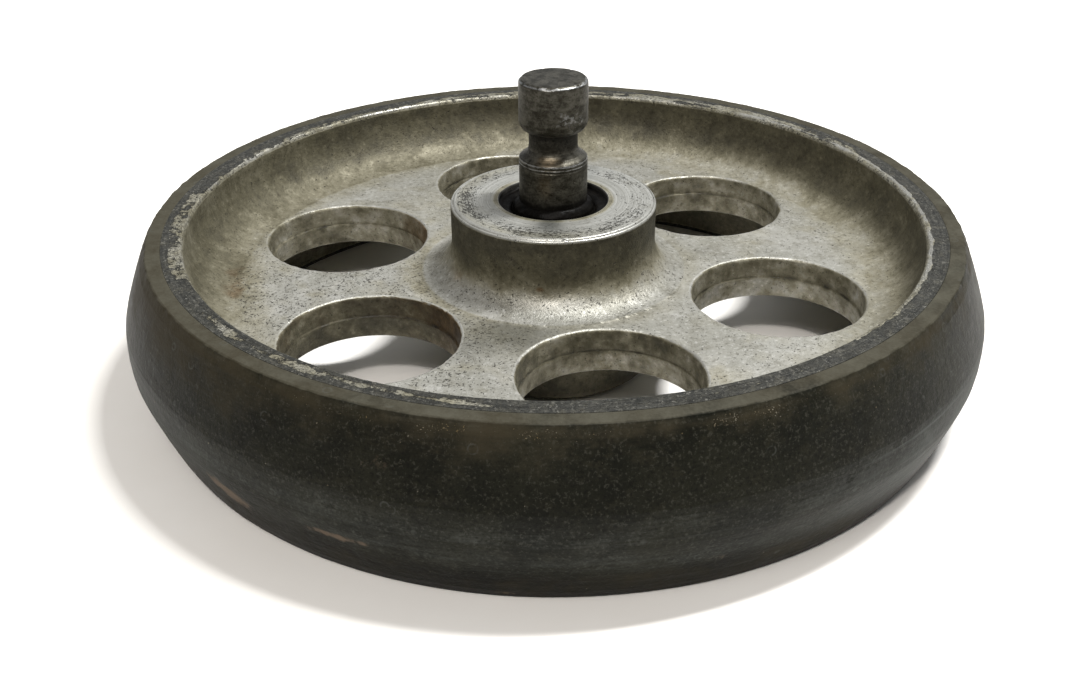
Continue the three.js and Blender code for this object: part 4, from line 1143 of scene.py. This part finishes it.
case = lathe("seal_outer_case", resample(rounded([(17.6, 58.05), (19.97, 58.05), (19.97, 63.2), (18.75, 63.2), (18.75, 59.2), (17.6, 59.2)], [0.2, 0.4, 0.3, 0.3, 0.4, 0.2], 3), 1.0), 144, True)
wear_on(case, MAT["plate"], "wheel", ("seal_case",))
lipm = lathe("seal_inner_lip", resample(rounded([(16.2, 59.4), (18.6, 59.4), (18.65, 63.1), (17.6, 63.25), (16.7, 62.9), (15.12, 61.5), (15.12, 61.2)], [0.2, 0.2, 0.4, 0.5, 0.5, 0.1, 0.1], 3), 0.8), 144, True)
wear_on(lipm, MAT["seal"], "wheel", ("seal_lip",))
film = lathe("seal_grease", resample([(15.5, 62.6), (16.6, 63.4), (17.8, 63.75), (19.3, 63.7), (19.93, 64.3), (19.93, 63.3), (18.9, 63.28), (17.6, 63.3), (16.6, 63.0), (15.5, 62.3)], 0.6), 120, True, angle=80)
P = points(film)
N = normals(film)
up = (N[:, 2] > 0.2).astype(float) * smooth(19.9, 19.3, np.hypot(P[:, 0], P[:, 1]))
set_points(film, P + N * (up * (0.30 * fbm(P, 4.0, 3, 83)))[:, None])
wear_on(film, MAT["grease"], "wheel")

# ================================================================ bearings


def centre_z(node):
    lo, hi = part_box(node)
    return (lo.z + hi.z) / 2 / MM


for label in ("upper", "lower"):
    c = centre_z(f"{label}_outer_race")
    h = 7.5
    gro = [(19.25 + 4.05 * math.cos(math.radians(a)), c + 4.05 * math.sin(math.radians(a))) for a in np.linspace(41, -41, 15)]
    outer_p = [(25.95, c - h + .6), (25.95, c + h - .6), (25.4, c + h), (23.9, c + h), (23.4, c + h - .4), (23.4, c + 6.1), (22.3, c + 6.0)] + gro + [(22.3, c - 6.0), (23.4, c - 6.1), (23.4, c - h + .4), (23.9, c - h), (25.4, c - h)]
    o = lathe(f"{label}_outer_ring", resample(outer_p, 2.5), 144, True)
    wear_on(o, MAT["race"], "wheel", (f"{label}_outer_race",))
    gri = [(19.25 - 4.05 * math.cos(math.radians(a)), c + 4.05 * math.sin(math.radians(a))) for a in np.linspace(-41, 41, 15)]
    inner_p = [(12.53, c + h - .6), (12.53, c - h + .6), (13.1, c - h), (15.9, c - h), (16.2, c - h + .3)] + gri + [(16.2, c + h - .3), (15.9, c + h), (13.1, c + h)]
    i_ = lathe(f"{label}_inner_ring", resample(inner_p, 2.5), 120, True)
    wear_on(i_, MAT["race"], "spindle", (f"{label}_inner_race",))
    for side, sgn in (("top", 1), ("bottom", -1)):
        sh_p = [(16.6, 6.55), (17.6, 6.35), (19.5, 6.35), (21.0, 6.75), (22.4, 6.75), (22.9, 6.3), (23.3, 6.3), (23.3, 6.7), (22.6, 7.15), (20.9, 7.15), (19.4, 6.75), (17.7, 6.75), (16.6, 6.95)]
        sh_p = [(rr_, c + sgn * zz_) for rr_, zz_ in sh_p]
        s_ = lathe(f"{label}_shield_{side}_plate", resample(rounded(sh_p, [0.1] * len(sh_p), 2), 1.0), 120, True)
        wear_on(s_, MAT["plate"], "wheel", (f"{label}_shield_{side}",))
    for k in range(1, 10):
        lo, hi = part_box(f"{label}_ball_{k}")
        bc = (np.array(lo) + np.array(hi)) / 2 / MM
        rad_b = 3.969
        bp = [(0, -rad_b)] + [(rad_b * math.cos(math.radians(a)), rad_b * math.sin(math.radians(a))) for a in range(-80, 81, 10)] + [(0, rad_b)]
        b = lathe(f"{label}_steel_ball_{k}", bp, 32, False, angle=80)
        set_points(b, points(b) + bc)
        wear_on(b, MAT["ball"], f"{label}_ball_set", (f"{label}_ball_{k}",))

    # two-part ribbon cage: a band that waves round each ball
    n = 9 * 40
    t = np.arange(n) * TAU / n
    local = (t * 9 / TAU) % 1.0
    local = np.minimum(local, 1 - local) * 2                       # 0 at a ball, 1 between two
    arc_len = local * (TAU * 19.25 / 18)
    rb = 4.35
    up_z = np.where(arc_len < rb, np.sqrt(np.clip(rb ** 2 - arc_len ** 2, 0, None)), 0)
    up_z = np.maximum(up_z, 0.0)
    k_ = np.ones(5) / 5
    up_z = np.convolve(np.r_[up_z[-2:], up_z, up_z[:2]], k_, "valid")
    rings_v = []
    thick = 0.7
    sec = [(-1.55, 1), (1.55, 1), (1.55, 0), (-1.55, 0)]
    mid_r = 19.25
    # upper ribbon
    for sgn, tag in ((1, "a"), (-1, "b")):
        vv = []
        for dr, outer_ in sec:
            zz_ = sgn * (up_z + 0.05 + thick * outer_)
            vv.append(np.stack([(mid_r + dr) * np.cos(t), (mid_r + dr) * np.sin(t), c + zz_], 1))
        V = np.concatenate(vv)
        idx = np.arange(n)
        nx = (idx + 1) % n
        F = []
        for a_ in range(4):
            b_ = (a_ + 1) % 4
            F.append(np.stack([a_ * n + idx, a_ * n + nx, b_ * n + nx, b_ * n + idx], 1))
        cg = make(f"{label}_cage_{tag}", V, [np.concatenate(F)], 50)
        bev = cg.modifiers.new("edge", "BEVEL")
        bev.width = 0.00012
        bev.segments = 2
        bev.limit_method = "ANGLE"
        bev.angle_limit = math.radians(60)
        if tag == "a":
            wear_on(cg, MAT["cage"], f"{label}_ball_set", (f"{label}_cage",))
        else:
            wear_on(cg, MAT["cage"], f"{label}_ball_set")

# --------------------------------------------- spacers, circlips, dust cap

lo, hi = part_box("outer_spacer")
z0, z1 = lo.z / MM, hi.z / MM
ob = lathe("outer_spacer_sleeve", resample(rounded([(23.4, z0), (25.9, z0), (25.9, z1), (23.4, z1)], [.3] * 4, 2), 3), 120, True)
ob2 = lathe("inner_spacer_sleeve", resample([(12.56, z0 + .3), (12.86, z0), (15.3, z0), (15.6, z0 + .3), (15.6, z1 - .3), (15.3, z1), (12.86, z1), (12.56, z1 - .3)], 3), 120, True)
wear_on(ob, MAT["spacer"], "wheel", ("outer_spacer",))
wear_on(ob2, MAT["spacer"], "spindle", ("inner_spacer",))

for node in ("bore_circlip", "spindle_circlip"):
    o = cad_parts[node]
    o.data.materials.clear()
    o.data.materials.append(MAT["spring"])

cap_p = [(0, 2.95), (20.5, 2.95), (22.6, 2.9), (23.6, 2.35), (26.2, 2.3), (27.05, 2.5), (27.12, 3.9), (26.5, 3.95), (26.4, 3.2), (24.0, 3.25), (23.1, 3.95), (21.0, 4.05), (0, 4.05)]
cap = lathe("dust_cap_disc", resample(rounded(cap_p, [0, .5, 1, .6, .4, .3, .2, .2, .3, .5, .6, .8, 0], 3), 1.4), 144, False)
wear_on(cap, MAT["plate"], "wheel", ("dust_cap",))

# =================================================================== stage


def floor_material():
    m = Mat("studio_floor")
    n = m.noise(60, 4, 0.55, w=1.0)
    f = m.noise(0.6, 2, 0.5, w=2.0)
    base = m.mix(m.step(n, 0.3, 0.7), (0.90, 0.885, 0.86), (0.93, 0.92, 0.90))
    m.set(Base_Color=base, Roughness=m.lerp(f, 0.75, 0.9), Metallic=0.0)
    m.bsdf.inputs["Specular IOR Level"].default_value = 0.1
    m.bump((f, 0.05, 0.1))
    return m.m


S = 14.0
fv = []
nn = 24
for j in range(nn + 1):
    for i in range(nn + 1):
        fv.append(((i / nn - 0.5) * 2 * S / MM, (j / nn - 0.5) * 2 * S / MM, -0.02))
fv = np.array(fv)
fi = []
for j in range(nn):
    for i in range(nn):
        a_ = j * (nn + 1) + i
        fi.append((a_, a_ + 1, a_ + nn + 2, a_ + nn + 1))
me = bpy.data.meshes.new("studio_floor")
me.from_pydata((fv * MM).tolist(), [], fi)
me.update()
floor = bpy.data.objects.new("studio_floor", me)
bpy.context.scene.collection.objects.link(floor)
floor.data.materials.append(floor_material())


def area(name, loc, target, size, power, color=(1, 1, 1), size_y=None):
    d = bpy.data.lights.new(name, "AREA")
    d.shape = "RECTANGLE"
    d.size = size
    d.size_y = size_y or size
    d.energy = power
    d.color = color
    o = bpy.data.objects.new(name, d)
    bpy.context.scene.collection.objects.link(o)
    o.location = loc
    v = Vector(target) - Vector(loc)
    o.rotation_euler = v.to_track_quat("-Z", "Y").to_euler()
    return o


# a ceiling strip, nearly overhead and a little to the back right, and a small lamp high in front
key = area("ceiling_strip", (0.82, 0.28, 2.07), (0.0, 0.0, 0.0), 0.18, 66.0, (1.0, 0.99, 0.97), 0.55)
d_ = -Vector(key.location).normalized()
long_axis = Vector((math.cos(math.radians(17)), math.sin(math.radians(17)), 0))
long_axis = (long_axis - long_axis.dot(d_) * d_).normalized()
side_axis = long_axis.cross(-d_).normalized()
key.rotation_euler = Matrix((side_axis, long_axis, side_axis.cross(long_axis))).transposed().to_euler()
area("lamp_front_high", (-0.22, -1.35, 1.75), (0.0, 0.0, 0.0), 0.16, 17.0, (1.0, 0.945, 0.885))
area("soft_front", (-0.40, -1.30, 2.00), (0.0, 0.0, 0.0), 1.0, 15.0, (1.0, 0.955, 0.91))

world = bpy.data.worlds.new("studio")
bpy.context.scene.world = world
world.use_nodes = True
wt = world.node_tree
wt.nodes.clear()
wo = wt.nodes.new("ShaderNodeOutputWorld")
bg = wt.nodes.new("ShaderNodeBackground")
tc = wt.nodes.new("ShaderNodeTexCoord")
dot = wt.nodes.new("ShaderNodeVectorMath")
dot.operation = "DOT_PRODUCT"
dot.inputs[1].default_value = (0.35, 0.92, 0.15)
wt.links.new(tc.outputs["Generated"], dot.inputs[0])
mr = wt.nodes.new("ShaderNodeMapRange")
mr.interpolation_type = "SMOOTHSTEP"
mr.inputs["From Min"].default_value = -0.7
mr.inputs["From Max"].default_value = 0.8
wt.links.new(dot.outputs["Value"], mr.inputs["Value"])
rp = wt.nodes.new("ShaderNodeValToRGB")
rp.color_ramp.elements[0].position = 0.0
rp.color_ramp.elements[0].color = (0.15, 0.145, 0.13, 1)
rp.color_ramp.elements[1].position = 1.0
rp.color_ramp.elements[1].color = (0.62, 0.63, 0.64, 1)
wt.links.new(mr.outputs[0], rp.inputs[0])
wt.links.new(rp.outputs[0], bg.inputs["Color"])
bg.inputs["Strength"].default_value = 0.75
wt.links.new(bg.outputs[0], wo.inputs["Surface"])

scene = bpy.context.scene
scene.view_settings.view_transform = "Standard"
scene.view_settings.look = "None"
scene.view_settings.exposure = 0.0
scene.view_settings.gamma = 1.0

# camera at the photograph's angle
yaw, pitch, roll, focal = -0.0175, 0.5114, -0.0076, 1315.95
fwd = Vector((math.sin(yaw) * math.cos(pitch), math.cos(yaw) * math.cos(pitch), -math.sin(pitch)))
right = Vector((math.cos(yaw), -math.sin(yaw), 0))
upv = right.cross(fwd)
r2 = math.cos(roll) * right + math.sin(roll) * upv
u2 = -math.sin(roll) * right + math.cos(roll) * upv
cam_data = bpy.data.cameras.new("camera")
cam_data.sensor_width = 36.0
cam_data.sensor_fit = "HORIZONTAL"
cam_data.lens = focal / 1066 * 36.0
cam_data.clip_start = 0.01
cam = bpy.data.objects.new("camera", cam_data)
scene.collection.objects.link(cam)
M = Matrix((r2, u2, -fwd)).transposed().to_4x4()
M.translation = Vector((0, -0.45174, 0.25515))
cam.matrix_world = M
scene.camera = cam
